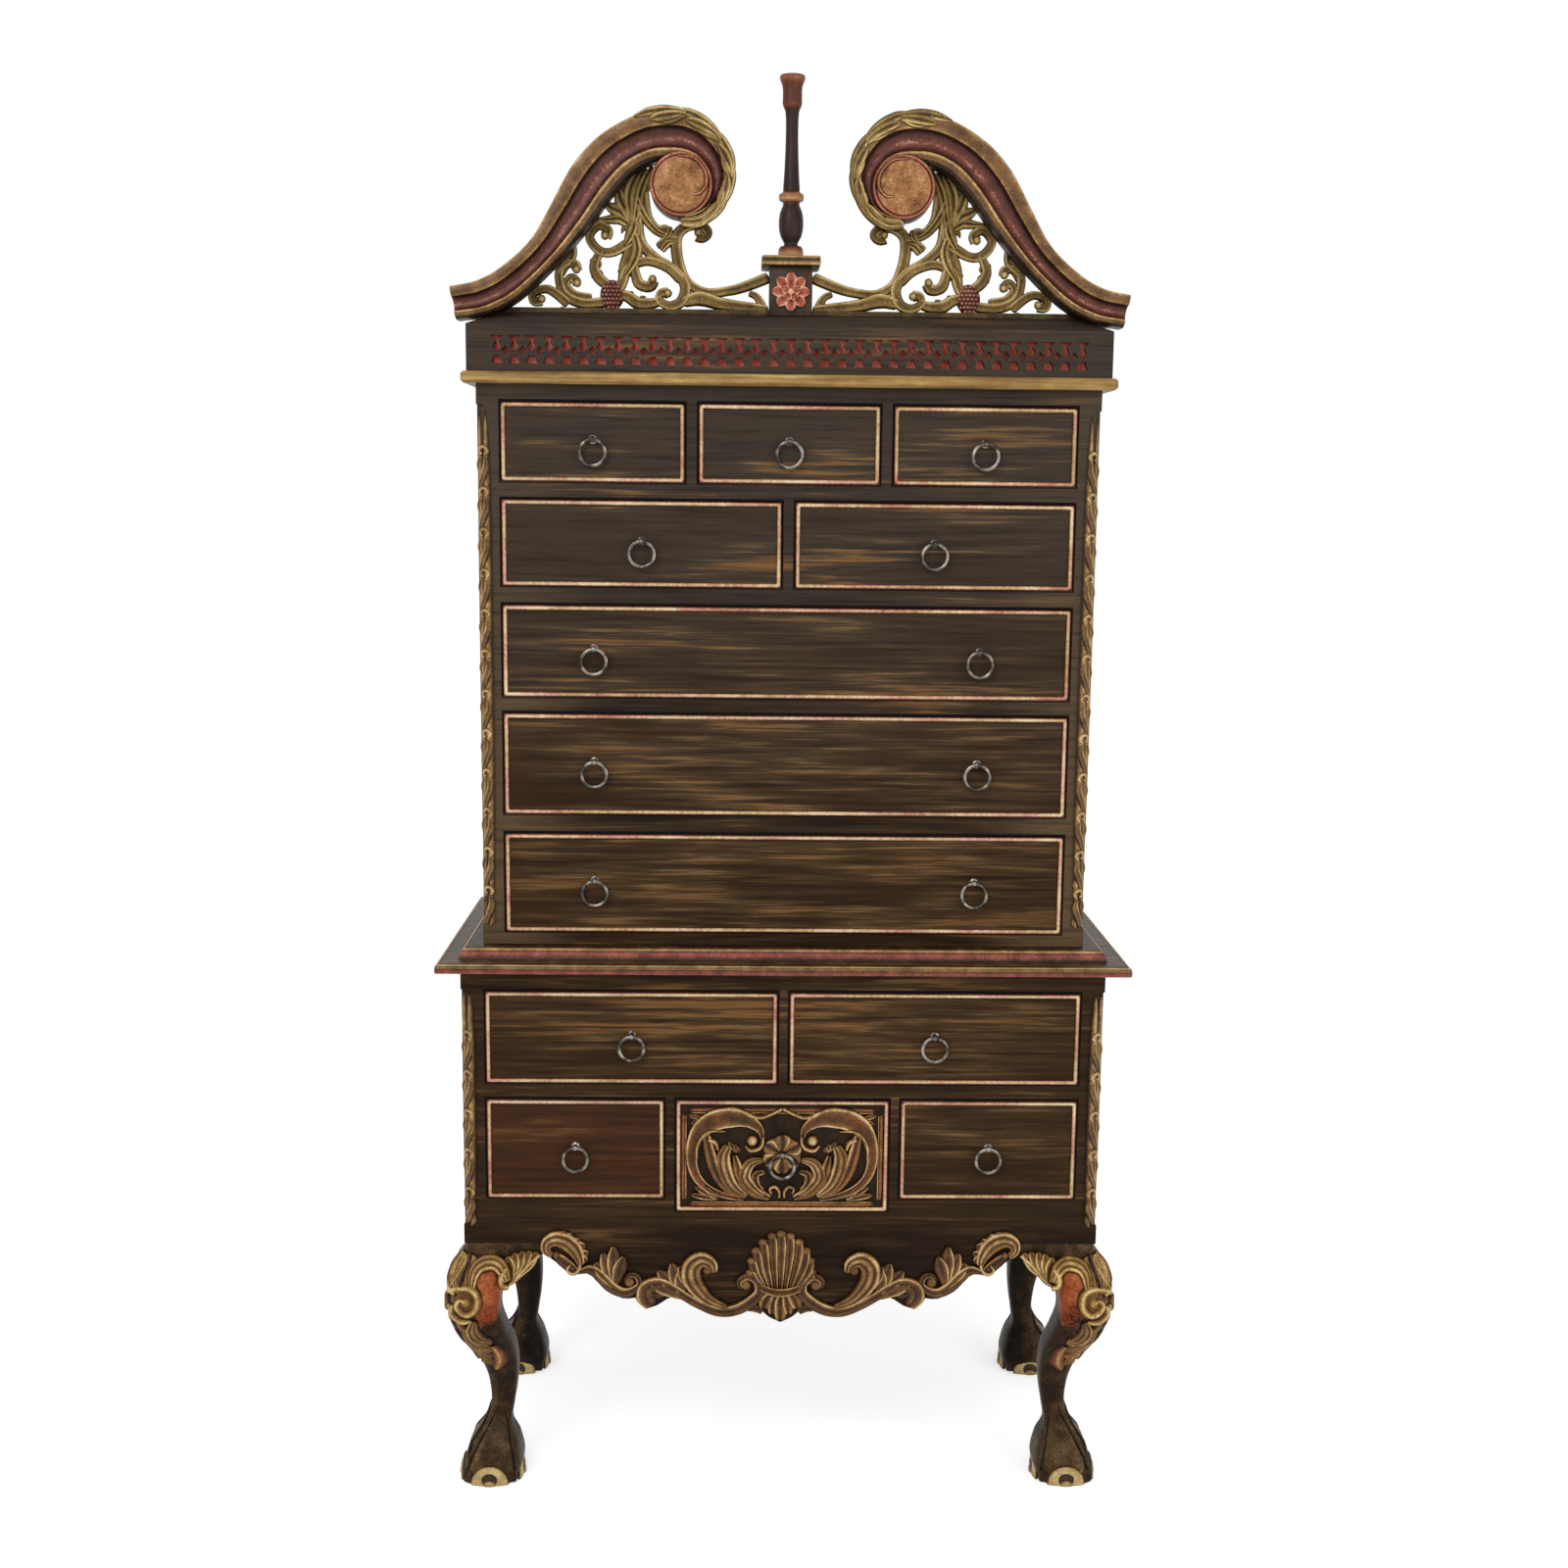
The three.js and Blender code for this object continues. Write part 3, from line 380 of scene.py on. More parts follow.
@dataclass(frozen=True)
class BeadPaint:
    """The bead round a drawer: cream and gold on its crown, red on its outer edge, and dark at its foot as painted
    shade.
    """

    name: str
    crown: Ramp = ramp("120a06", "4c2f1c", "876240", "b08f62", "e2cda4")

    def make(self) -> Material:
        """Builds the material."""
        nodes = Nodes(self.name, 0.45, specular=0.2)
        tone, red = nodes.painted()
        long = nodes.noise((9.0, 9.0, 9.0), 4.0, 0.65)
        other = nodes.noise((17.0, 17.0, 17.0), 3.0, 0.6)
        fine = nodes.noise((190.0, 190.0, 190.0), 3.0, 0.65)
        value = nodes.maths("SUBTRACT", nodes.shifted(nodes.shifted(tone, long, 0.9), fine, 0.6), 0.12)
        colour = nodes.run(value, self.crown)
        rose = nodes.run(value, ramp("170806", "3f150f", "7a3d30", "ad6f5c", "dcb29a"))
        edge = nodes.span(nodes.shifted(red, fine, 0.6), 0.35, 0.65)
        share = nodes.maths("MAXIMUM", edge, nodes.times(nodes.span(other, 0.46, 0.6), 0.85))
        colour = nodes.mix(share, colour, rose)
        nodes.bump(nodes.plus(fine, long), 0.25, 0.0008)
        return nodes.done(colour)


@dataclass(frozen=True)
class CloudedFinish:
    """Two tones of one finish in soft clouds: brushed paint, sawn wood or rubbed metal."""

    name: str
    light: Colour
    dark: Colour
    roughness: float = 0.5
    metallic: float = 0.0
    specular: float = 0.1
    clouds: Triple = (60.0, 60.0, 25.0)
    detail: float = 4.0
    rough: float = 0.65
    full: float = 0.65
    relief: Point = (0.15, 0.0006)

    def make(self) -> Material:
        """Builds the material."""
        nodes = Nodes(self.name, self.roughness, self.metallic, self.specular)
        cloud = nodes.noise(self.clouds, self.detail, self.rough)
        nodes.bump(cloud, *self.relief)
        return nodes.done(nodes.mix(nodes.span(cloud, 0.35, self.full), self.dark, self.light))


@dataclass(frozen=True)
class CornicePaint:
    """Gold on the moulding of the cornice, dark on the tray above it."""

    name: str
    top: float

    def make(self) -> Material:
        """Builds the material."""
        nodes = Nodes(self.name, 0.45)
        strokes = nodes.noise((6.0, 6.0, 210.0), 4.0, 0.65, 0.3)
        cloud = nodes.noise((24.0, 24.0, 60.0), 4.0, 0.65)
        value = nodes.shifted(nodes.plus(nodes.times(cloud, 0.6), 0.3), strokes, 1.1)
        moulding = nodes.run(value, ramp("24170b", "5a411f", "866635", "ad8b4f", "dcc48c"))
        colour = nodes.mix(nodes.span(nodes.coordinate("Z"), self.top, self.top + 0.4 * MM), moulding, GROUND)
        nodes.bump(nodes.plus(strokes, cloud), 0.35, 0.0012)
        return nodes.done(colour)


# Shapes


def along(values: Sequence[Union[float, Vector]], share: float) -> Union[float, Vector]:
    """Gives a place on the smooth curve through some points or numbers.

    Args:
        values: The points, as vectors, or the numbers, in order.
        share: How far along the curve, from 0 to 1.

    Returns:
        A vector or a number.
    """
    spot = share * (len(values) - 1)
    i = min(int(spot), len(values) - 2)
    t = spot - i
    b, c = values[i], values[i + 1]
    a = values[i - 1] if i > 0 else 2 * b - c
    d = values[i + 2] if i + 2 < len(values) else 2 * c - b
    return 0.5 * ((2 * b) + (c - a) * t + (2 * a - 5 * b + 4 * c - d) * t**2 + (3 * b - a - 3 * c + d) * t**3)


def straight(values: Sequence[float], share: float) -> float:
    """Gives a number on the broken line through some numbers."""
    spot = share * (len(values) - 1)
    i = min(int(spot), len(values) - 2)
    return values[i] + (spot - i) * (values[i + 1] - values[i])


def between(value: float, low: float, high: float) -> float:
    """Gives how far a value has come from low to high, held between 0 and 1."""
    return min(1.0, max(0.0, (value - low) / (high - low)))


def level(half_x: float, half_y: float, place: Triple) -> Matrix:
    """Gives the matrix that lays a section flat at a place, drawn out to its half sizes."""
    matrix = Matrix.Diagonal((half_x, half_y, 1, 1))
    matrix.translation = Vector(place)
    return matrix


def flat_face(y: float) -> Surface:
    """Gives the surface of an upright face that looks to the front."""
    return lambda x, z: (Vector((x, y, z)), FRONT)


DARK: Tone = (0.0, 0.0)
SHADED: Tone = (0.3, 0.0)
BRIGHT: Tone = (0.95, 0.0)


def rooted(rim: float, *rows: Triple) -> tuple[Triple, ...]:
    """Adds to the rows of a section the rim on both its sides, which is sunk into the wood."""
    return (rim, -0.5, 0), (rim, 0.04, 0), *rows, (-rim, 0.04, 0), (-rim, -0.5, 0)


class Section(Enum):
    """Cross-sections of carved strokes: across, out of the wood, and the tone of the gilding there, which is painted
    shade at the foot and in the grooves and a painted highlight along the ridges.
    """

    ROUND = rooted(
        1.08, (1, 0.14, 0.1), (0.84, 0.58, 0.45), (0.48, 0.92, 0.72), (0, 1, 0.95), (-0.48, 0.92, 0.66),
        (-0.84, 0.58, 0.4), (-1, 0.14, 0.1),
    )
    LEAF = rooted(
        1.08, (1, 0.3, 0.08), (0.9, 0.78, 0.7), (0.76, 0.98, 1), (0.6, 0.94, 0.62), (0.3, 0.86, 0.4),
        (0.1, 0.8, 0.36), (0, 0.68, 0.06), (-0.1, 0.78, 0.42), (-0.36, 0.86, 0.5), (-0.66, 0.78, 0.4),
        (-0.86, 0.58, 0.26), (-1, 0.22, 0.06),
    )
    HOLLOW = rooted(
        1.07, (1, 0.3, 0.2), (0.94, 0.9, 0.9), (0.84, 1, 1), (0.7, 0.76, 0.62), (0.3, 0.46, 0.4),
        (-0.2, 0.42, 0.42), (-0.58, 0.7, 0.6), (-0.82, 0.98, 0.95), (-0.94, 0.84, 0.8), (-1, 0.3, 0.2),
    )
    RIBS = rooted(
        1.07, (1, 0.34, 0.12), (0.9, 0.8, 0.75), (0.7, 0.96, 0.95), (0.46, 0.92, 0.55), (0.36, 0.8, 0.12),
        (0.26, 0.94, 0.6), (0, 1, 0.82), (-0.24, 0.92, 0.6), (-0.34, 0.78, 0.12), (-0.44, 0.88, 0.55),
        (-0.7, 0.86, 0.7), (-0.9, 0.64, 0.4), (-1, 0.24, 0.1),
    )
    BLADE = rooted(
        1.08, (1, 0.24, 0.15), (0.9, 0.74, 0.75), (0.68, 0.98, 0.95), (0.36, 0.84, 0.55), (0.08, 0.58, 0.2),
        (-0.1, 0.64, 0.35), (-0.4, 0.94, 0.7), (-0.74, 0.9, 0.55), (-0.92, 0.6, 0.35), (-1, 0.18, 0.1),
    )
    PIERCED = (
        (1, 0, 0), (1, 0.45, 0.05), (0.95, 0.72, 0.5), (0.78, 0.97, 0.95), (0.48, 0.98, 0.7), (0.12, 0.84, 0.4),
        (-0.25, 0.86, 0.5), (-0.62, 0.94, 0.62), (-0.88, 0.74, 0.3), (-1, 0.45, 0.05), (-1, 0, 0),
    )
    THICK_LEAF = (
        (1, 0, 0), (1, 0.5, 0.05), (0.93, 0.8, 0.6), (0.62, 1, 0.92), (0.26, 0.95, 0.6), (0.12, 0.82, 0.12),
        (0, 0.94, 0.55), (-0.4, 1, 0.75), (-0.84, 0.84, 0.42), (-1, 0.5, 0.05), (-1, 0, 0),
    )


ROUND, LEAF, HOLLOW, RIBS, BLADE, PIERCED, THICK_LEAF = Section


@dataclass(frozen=True)
class Stroke:
    """One stroke of the carver: its course and widths in millimetres, its height, its section and its paint."""

    course: tuple[Point, ...]
    wide: tuple[float, ...]
    high: float = 5.0
    section: Section = LEAF
    red: float = 0.0
    dull: float = 0.0


def fan(root: Point, tips: Sequence[Point], wide: float, high: float, section: Section) -> tuple[Stroke, ...]:
    """Gives a fan of round-ended lobes that spread from one root, as on a shell or a leaf.

    Args:
        root: Where the lobes meet, in millimetres.
        tips: The end of each lobe, in millimetres.
        wide: The widest place of a lobe, in millimetres.
        high: How far they stand out, in millimetres.
        section: The cross-section of a lobe.

    Returns:
        A stroke for each lobe.
    """
    widths = tuple(share * wide for share in (0.35, 0.7, 1, 0.85, 0.25))
    middles = [(0.45 * root[0] + 0.55 * x, 0.45 * root[1] + 0.55 * z) for x, z in tips]
    return tuple(Stroke((root, middle, tip), widths, high, section) for middle, tip in zip(middles, tips))


@dataclass(frozen=True)
class Ground:
    """What strokes lie on: a surface, the place that courses count from, and whether they run to the left."""

    surface: Surface
    start: Point = (0.0, 0.0)
    mirror: bool = False


class Shape:
    """A mesh in the making, with a tone and a share of red painted on its corners; the tone carries painted shade and
    painted highlights.
    """

    def __init__(self) -> None:
        """Starts with nothing."""
        self.bm = bmesh.new()
        self.spot = self.bm.verts.layers.int.new("spot")
        self.paint = self.bm.verts.layers.float_vector.new("paint")

    def colour(self, verts: Iterable[BMVert], tone: Tone) -> None:
        """Paints some corners."""
        for vert in verts:
            vert[self.paint] = Vector((*tone, 0.0))

    def sweep(
        self,
        section: Sequence[Point],
        stations: Sequence[Matrix],
        tint: Union[Tone, Callable[[int, float], Tone]] = DARK,
        caps: bool = True,
    ) -> None:
        """Extrudes a closed section through a row of stations.

        Args:
            section: The corners of the section.
            stations: A matrix for each place that the section takes.
            tint: The paint, or what gives it for a corner of the section and a share of the way.
            caps: Whether both ends are closed.
        """
        ring = [self.bm.verts.new(stations[0] @ Vector((x, y, 0))) for x, y in section]
        for spot, vert in enumerate(ring):
            vert[self.spot] = spot
        first = [self.bm.edges.new(pair) for pair in zip(ring, ring[1:] + ring[:1])]
        rows, edges = [ring], first
        for before, after in zip(stations, stations[1:]):
            made = bmesh.ops.extrude_edge_only(self.bm, edges=edges)["geom"]
            verts = [item for item in made if isinstance(item, BMVert)]
            edges = [item for item in made if isinstance(item, BMEdge) and item.is_boundary]
            bmesh.ops.transform(self.bm, matrix=after @ before.inverted(), verts=verts)
            rows.append(verts)
        for i, row in enumerate(rows):
            for vert in row:
                tone = tint(vert[self.spot], i / (len(rows) - 1)) if callable(tint) else tint
                self.colour([vert], tone)
        if caps:
            bmesh.ops.contextual_create(self.bm, geom=first)
            bmesh.ops.contextual_create(self.bm, geom=edges)

    def stack(self, outline: Sequence[Point], levels: Sequence[Matrix], tones: Sequence[Tone]) -> None:
        """Builds a moulding from level outlines, one above another, each with its paint."""
        self.sweep(outline, levels, lambda spot, share: tones[round(share * (len(tones) - 1))])

    def box(self, low: Vector, high: Vector, bevel: float, tone: Tone = DARK) -> None:
        """Adds a block with softened edges.

        Args:
            low: Its lowest corner.
            high: Its highest corner.
            bevel: The width of the softened edge.
            tone: Its paint.
        """
        size, middle = high - low, (high + low) / 2
        matrix = Matrix.Translation(middle) @ Matrix.Diagonal((*size, 1))
        verts = bmesh.ops.create_cube(self.bm, size=1, matrix=matrix)["verts"]
        edges = list({edge for vert in verts for edge in vert.link_edges})
        made = bmesh.ops.bevel(
            self.bm, geom=edges, offset=bevel, segments=2, profile=0.5, affect="EDGES", material=-1
        )
        self.colour({vert for item in made["faces"] for vert in item.verts}, tone)

    def dome(
        self, middle: Vector, reach: Vector, tone: Tone = BRIGHT, out: Vector = FRONT, steps: int = 14
    ) -> None:
        """Adds a ball drawn out to its reach along x, y and z, with painted shading: bright where it faces out of the
        wood, dark round its sides.

        Args:
            middle: Its middle.
            reach: Its half sizes.
            tone: Its paint where it faces straight out, its painted highlight.
            out: The way out of the wood.
            steps: How many faces go round.
        """
        matrix = Matrix.Translation(middle) @ Matrix.Diagonal((*reach, 1))
        made = bmesh.ops.create_uvsphere(
            self.bm, u_segments=steps, v_segments=max(6, steps // 2), radius=1, matrix=matrix
        )
        # Painted shading: the tone falls from the front of the ball to its sides.
        for vert in made["verts"]:
            off = vert.co - middle
            normal = Vector([off[i] / reach[i] ** 2 for i in range(3)]).normalized()
            proud = max(0.0, normal.dot(out))
            self.colour([vert], (tone[0] * (0.12 + 0.88 * proud), tone[1]))

    def lathe(
        self, profile: Sequence[Point], middle: Vector, axis: Vector, steps: int, tones: Sequence[Tone]
    ) -> None:
        """Turns a profile that starts and ends on the axis.

        Args:
            profile: How far each point lies out from the axis and along it.
            middle: Where the axis starts.
            axis: The way of the axis.
            steps: How many faces go round.
            tones: The paint of each point.
        """
        out = Vector((1, 0, 0))
        before = set(self.bm.verts)
        verts = [self.bm.verts.new(middle + out * r + axis * h) for r, h in profile]
        for vert, tone in zip(verts, tones):
            self.colour([vert], tone)
        edges = [self.bm.edges.new(pair) for pair in zip(verts, verts[1:])]
        bmesh.ops.spin(
            self.bm, geom=verts + edges, cent=middle, axis=axis, dvec=(0, 0, 0), angle=2 * math.pi,
            steps=steps, use_merge=True, use_duplicate=False,
        )
        turned = [vert for vert in self.bm.verts if vert not in before]
        bmesh.ops.remove_doubles(self.bm, verts=turned, dist=0.01 * MM)

    def carve(self, ground: Ground, *strokes: Stroke) -> None:
        """Lays carved strokes on a ground."""
        for stroke in strokes:
            self.lay(stroke, ground)

    def lay(self, stroke: Stroke, ground: Ground) -> None:
        """Sweeps one stroke's section along its course.

        Args:
            stroke: The stroke.
            ground: The ground, which gives the point and the way out of the wood at each place.
        """
        turn = -1 if ground.mirror else 1
        course = [Vector((turn * x * MM, z * MM)) for x, z in stroke.course]
        count = max(6, 5 * (len(course) - 1))
        places = [along(course, i / count) for i in range(count + 1)]
        points = [ground.surface(ground.start[0] + x, ground.start[1] + z) for x, z in places]
        stations = []
        for i, (point, out) in enumerate(points):
            way = points[min(i + 1, count)][0] - points[max(i - 1, 0)][0]
            reach = max(0.3, straight(stroke.wide, i / count)) * MM / 2
            rise = stroke.high * MM * min(1, 0.5 + reach / (6 * MM))
            stations.append(station(point, way, out, reach, rise))
        rows = stroke.section.value

        def tint(spot: int, share: float) -> Tone:
            """Gives the paint of a corner of the section."""
            return max(0.0, rows[spot][2] - stroke.dull), stroke.red if rows[spot][2] < 0.8 else 0.0

        self.sweep([(turn * x, y) for x, y, _ in rows], stations, tint)

    def petals(self, count: int, shares: Sequence[float], reach: float, petal: Stroke, ground: Ground) -> None:
        """Lays a ring of petals round a middle.

        Args:
            count: How many petals there are.
            shares: The places of a petal's course, as shares of its reach.
            reach: How far the petals reach, in millimetres.
            petal: A petal's widths, height and section, without its course.
            ground: What they lie on.
        """
        for i in range(count):
            angle = math.radians(90 + 360 * i / count)
            tip = (reach * math.cos(angle), reach * math.sin(angle))
            course = tuple((share * tip[0], share * tip[1]) for share in shares)
            self.carve(ground, replace(petal, course=course))

    def swap(self, before: set[BMVert]) -> None:
        """Changes x and y in all that came after some vertices, so that a front face becomes a side face."""
        made = [vert for vert in self.bm.verts if vert not in before]
        bmesh.ops.transform(self.bm, matrix=SWAP, verts=made)

    def finish(
        self, name: str, materials: Sequence[Material], slot: Slot, nodes: Sequence[str] = (), body: str = "case",
        smooth: int = 0,
    ) -> None:
        """Turns the mesh into a piece of the highboy.

        Args:
            name: The piece's name.
            materials: Its materials, in the order of its faces' numbers.
            slot: The record's slot for it; not used.
            nodes: The solids that it stands for.
            body: The body that it moves with.
            smooth: How often its faces are subdivided.
        """
        bmesh.ops.recalc_face_normals(self.bm, faces=self.bm.faces)
        self.bm.verts.layers.int.remove(self.spot)
        mesh = bpy.data.meshes.new(name)
        self.bm.to_mesh(mesh)
        self.bm.free()
        mesh.shade_smooth()
        mesh.set_sharp_from_angle(angle=SHARP_ANGLE)
        for material in materials:
            mesh.materials.append(material)
        piece = bpy.data.objects.new(name, mesh)
        bpy.context.scene.collection.objects.link(piece)
        if smooth:
            modifier = piece.modifiers.new("smooth", "SUBSURF")
            modifier.levels = smooth
            modifier.render_levels = smooth
        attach(piece, body)
        if nodes:
            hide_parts(*nodes)
        log.info("%s: %d faces", name, len(mesh.polygons))


def station(point: Vector, way: Vector, out: Vector, reach: float, rise: float) -> Matrix:
    """Gives the matrix that puts a section across a course.

    Args:
        point: The place on the course.
        way: The course's direction there.
        out: The way out of the wood.
        reach: Half the section's width.
        rise: The section's height.

    Returns:
        The matrix.
    """
    ahead = way.normalized() if way.length > 1e-9 else UP
    side = ahead.cross(out).normalized()
    matrix = Matrix((side * reach, out * rise, ahead * reach)).transposed().to_4x4()
    matrix.translation = point
    return matrix


# Sub-assemblies


class Finish(Protocol):
    """Anything that a material can be made from."""

    def make(self) -> Material:
        """Builds the material."""


def mixed(finish: Finish) -> Material:
    """Gives a field that holds a finish's material, made together with the other paints."""
    return field(default_factory=finish.make)


@dataclass
class Paints:
    """The finishes of the whole piece, made once."""

    case: Material = mixed(
        StreakedPaint("case paint", paint("22180e"), paint("3b2a19"), cover=0.3, ends=paint("766147"))
    )
    apron: Material = mixed(StreakedPaint("apron paint", paint("2f2114"), paint("453220"), dark_below=0.418))
    drawer: Material = mixed(StreakedPaint("drawer paint", cover=0.66))
    russet: Material = mixed(StreakedPaint("russet drawer paint", paint("3d2618"), paint("4f301d"), cover=0.3))
    carved_ground: Material = mixed(CloudedFinish("carved drawer ground", paint("2e2012"), paint("1c1209")))
    side: Material = mixed(StreakedPaint("side paint", cover=0.2))
    dark: Material = mixed(StreakedPaint("fret paint", paint("3a2c20"), paint("4b3b2c"), paint("7c654a"), cover=0.3))
    bead: Material = mixed(BeadPaint("bead paint"))
    wood: Material = mixed(
        CloudedFinish("sawn wood", paint("a5814f"), paint("7a5a34"), 0.7, 0.0, 0.3, (70.0, 5.0, 70.0), 5.0, 0.6)
    )
    metal: Material = mixed(
        CloudedFinish(
            "dark metal", paint("918a80"), paint("3d3832"), 0.24, 0.95, 0.3, (70.0, 70.0, 70.0), 2.0, 0.55, 0.7,
            (0.05, 0.0003),
        )
    )
    # The liner is painted a brighter coral than its own red: painted light that makes up for the shade it lies in
    # behind the fret.
    liner: Material = mixed(CloudedFinish("liner paint", paint("ff8875"), paint("e8604f")))
    gold: Material = mixed(Gilding("moulding gilding", gloss=0.25))
    carving: Material = mixed(Gilding("carving gilding", CARVING_GOLD, WARM_RED, hollow=0.005))
    vine: Material = mixed(Gilding("vine gilding", VINE_GOLD, hollow=0.008))
    rosette: Material = mixed(Gilding("rosette gilding", ROSETTE_GOLD, ROSETTE_RED, worn=1.0))
    flower: Material = mixed(Gilding("flower paint", FLOWER_RED))
    knee: Material = mixed(Gilding("knee gilding", KNEE_GOLD, WARM_RED, worn=0.6))
    corner: Material = mixed(Gilding("corner gilding", CORNER_GOLD, WARM_RED, hollow=0.004, worn=0.7))
    neck: Material = mixed(Gilding("neck gilding", NECK_GOLD, NECK_RED, hollow=0.008, worn=0.7, gloss=0.3))
    waist: Material = mixed(Gilding("waist gilding", MOULDING_GOLD, WAIST_RED, worn=0.6, gloss=0.25))
    limb: Material = mixed(Gilding("leg paint", LEG_BROWN, LEG_RED, worn=0.9, gloss=0.08))


@dataclass
class Assembly:
    """A sub-assembly of the highboy, painted with the finishes that all of them share."""

    paints: Paints

    def build(self) -> None:
        """Builds its pieces."""
        raise NotImplementedError


def dress(node: str, material: Material) -> None:
    """Gives a solid that is shown as it is its material."""
    data = frame["nodes"][node].data
    data.materials.clear()
    data.materials.append(material)


@dataclass
class Boards(Assembly):
    """The plain boards of the frames, cases, deck, frieze and cornice."""

    def build(self) -> None:
        """Gives each board its paint."""
        paints = self.paints
        finishes = {
            "upper_frame": paints.case, "lower_frame": paints.apron, "upper_case": paints.side,
            "lower_case": paints.side, "frieze_fret": paints.dark, "pediment_deck": paints.dark,
            "frieze_liner": paints.liner,
            "cornice": CornicePaint("cornice paint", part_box("frieze_fret")[0].z - 0.2 * MM).make(),
        }
        for node, material in finishes.items():
            dress(node, material)


# The turned back plate and stem of a ring's eye: out from its axis and along it, as shares of the ball's radius.
EYE_PROFILE = ((0, 0), (1.3, 0), (1.3, 0.25), (0.8, 0.5), (0.55, 0.8), (0.5, 1.4), (0, 1.4))


@dataclass
class Drawers(Assembly):
    """The thirteen drawers: painted fronts with a gilded bead, plain boxes, eyes and ring pulls."""

    front_thick: float = 20 * MM
    bead_wide: float = 7 * MM
    bead_proud: float = 3 * MM
    bead_round: float = 2.4 * MM
    bead_edge: float = 2 * MM
    bead_shade: float = 0.55
    ring_radius: float = 19 * MM
    ring_wire: float = 3.1 * MM
    ring_steps: int = 48
    wire_steps: int = 12
    eye_ball: float = 5.0 * MM
    eye_out: float = 9.5 * MM
    eye_steps: int = 18
    # The painted shadow round each drawer: its gap, its widths above and beside, and how far it stands off and into
    # the rail.
    shadow_gap: float = 1.2 * MM
    shadow_above: float = 3.2 * MM
    shadow_beside: float = 1.8 * MM
    shadow_proud: float = 0.3 * MM
    shadow_sunk: float = 0.1 * MM
    shadow_bevel: float = 0.05 * MM

    def build(self) -> None:
        """Builds and dresses every drawer."""
        self.joints()
        for name in frame["nodes"]:
            if name.startswith("drawer_front_"):
                self.front(name.removeprefix("drawer_front_"))
            elif name.startswith("drawer_box_"):
                dress(name, self.paints.wood)
            elif name.startswith("ring_pull_"):
                self.ring(name.removeprefix("ring_pull_"))

    def joints(self) -> None:
        """Draws a painted shadow: a dark line on the rails round each drawer, wider above it, where the gap throws
        shade.
        """
        shape = Shape()
        for name in frame["nodes"]:
            if not name.startswith("drawer_front_"):
                continue
            low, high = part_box(name)
            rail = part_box("upper_frame" if "upper" in name else "lower_frame")[0].y
            gap, beside = self.shadow_gap, self.shadow_beside
            x0, x1, z0, z1 = low.x - gap, high.x + gap, low.z - gap, high.z + gap
            strips = (
                (x0 - beside, x1 + beside, z1, z1 + self.shadow_above), (x0 - beside, x1 + beside, z0 - gap, z0),
                (x0 - beside, x0, z0, z1), (x1, x1 + beside, z0, z1),
            )
            for left, right, foot, head in strips:
                corners = Vector((left, rail - self.shadow_proud, foot)), Vector((right, rail + self.shadow_sunk, head))
                shape.box(*corners, self.shadow_bevel)
        # Painted shadow: a near-black finish for the lines in the gaps.
        gap_shadow_paint = CloudedFinish("joint shade", SOOT_AND_SHADOW, paint("0c0806"), 0.8).make()
        shape.finish("drawer_joints", [gap_shadow_paint], Slot.CASE)

    def front(self, name: str) -> None:
        """Builds a drawer front: a board whose rim is inset and raised into a bead.

        Args:
            name: The drawer's name.
        """
        node = f"drawer_front_{name}"
        low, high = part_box(node)
        face = high.y - self.front_thick
        shape = Shape()
        size = Vector((high.x - low.x, self.front_thick, high.z - low.z))
        middle = Vector(((low.x + high.x) / 2, (face + high.y) / 2, (low.z + high.z) / 2))
        bm = shape.bm
        bmesh.ops.create_cube(bm, size=1, matrix=Matrix.Translation(middle) @ Matrix.Diagonal((*size, 1)))
        panel = min(bm.faces, key=lambda item: item.calc_center_median().y)
        rim = bmesh.ops.inset_region(bm, faces=[panel], thickness=self.bead_wide, use_even_offset=True)["faces"]
        raised = bmesh.ops.extrude_face_region(bm, geom=rim)["geom"]
        verts = [item for item in raised if isinstance(item, BMVert)]
        bmesh.ops.translate(bm, vec=FRONT * self.bead_proud, verts=verts)
        bmesh.ops.delete(bm, geom=rim, context="FACES_ONLY")
        edges = [item for item in raised if isinstance(item, BMEdge)]
        bmesh.ops.bevel(
            bm, geom=edges, offset=self.bead_round, segments=3, profile=0.5, affect="EDGES", material=-1,
            clamp_overlap=True,
        )
        # Painted shade and highlight: the bead darkens towards its foot and brightens towards its crown, and its red
        # outer edge is painted darker.
        for vert in bm.verts:
            x, y, z = vert.co
            lift = (face - y) / self.bead_proud
            edge = min(x - low.x, high.x - x, z - low.z, high.z - z)
            shade, red = (self.bead_shade, 1.0) if edge < self.bead_edge else (1.0, 0.0)
            shape.colour([vert], (max(0.0, min(1.0, lift)) * shade, red))
        for item in bm.faces:
            item.material_index = 1 if item.calc_center_median().y < face - 0.05 * MM else 0
        special = {"lower_2_left": self.paints.russet, "lower_2_centre": self.paints.carved_ground}
        board = special.get(name, self.paints.drawer)
        shape.finish(f"front_{name}", [board, self.paints.bead], Slot.DRAWER, [node], f"drawer_{name}")

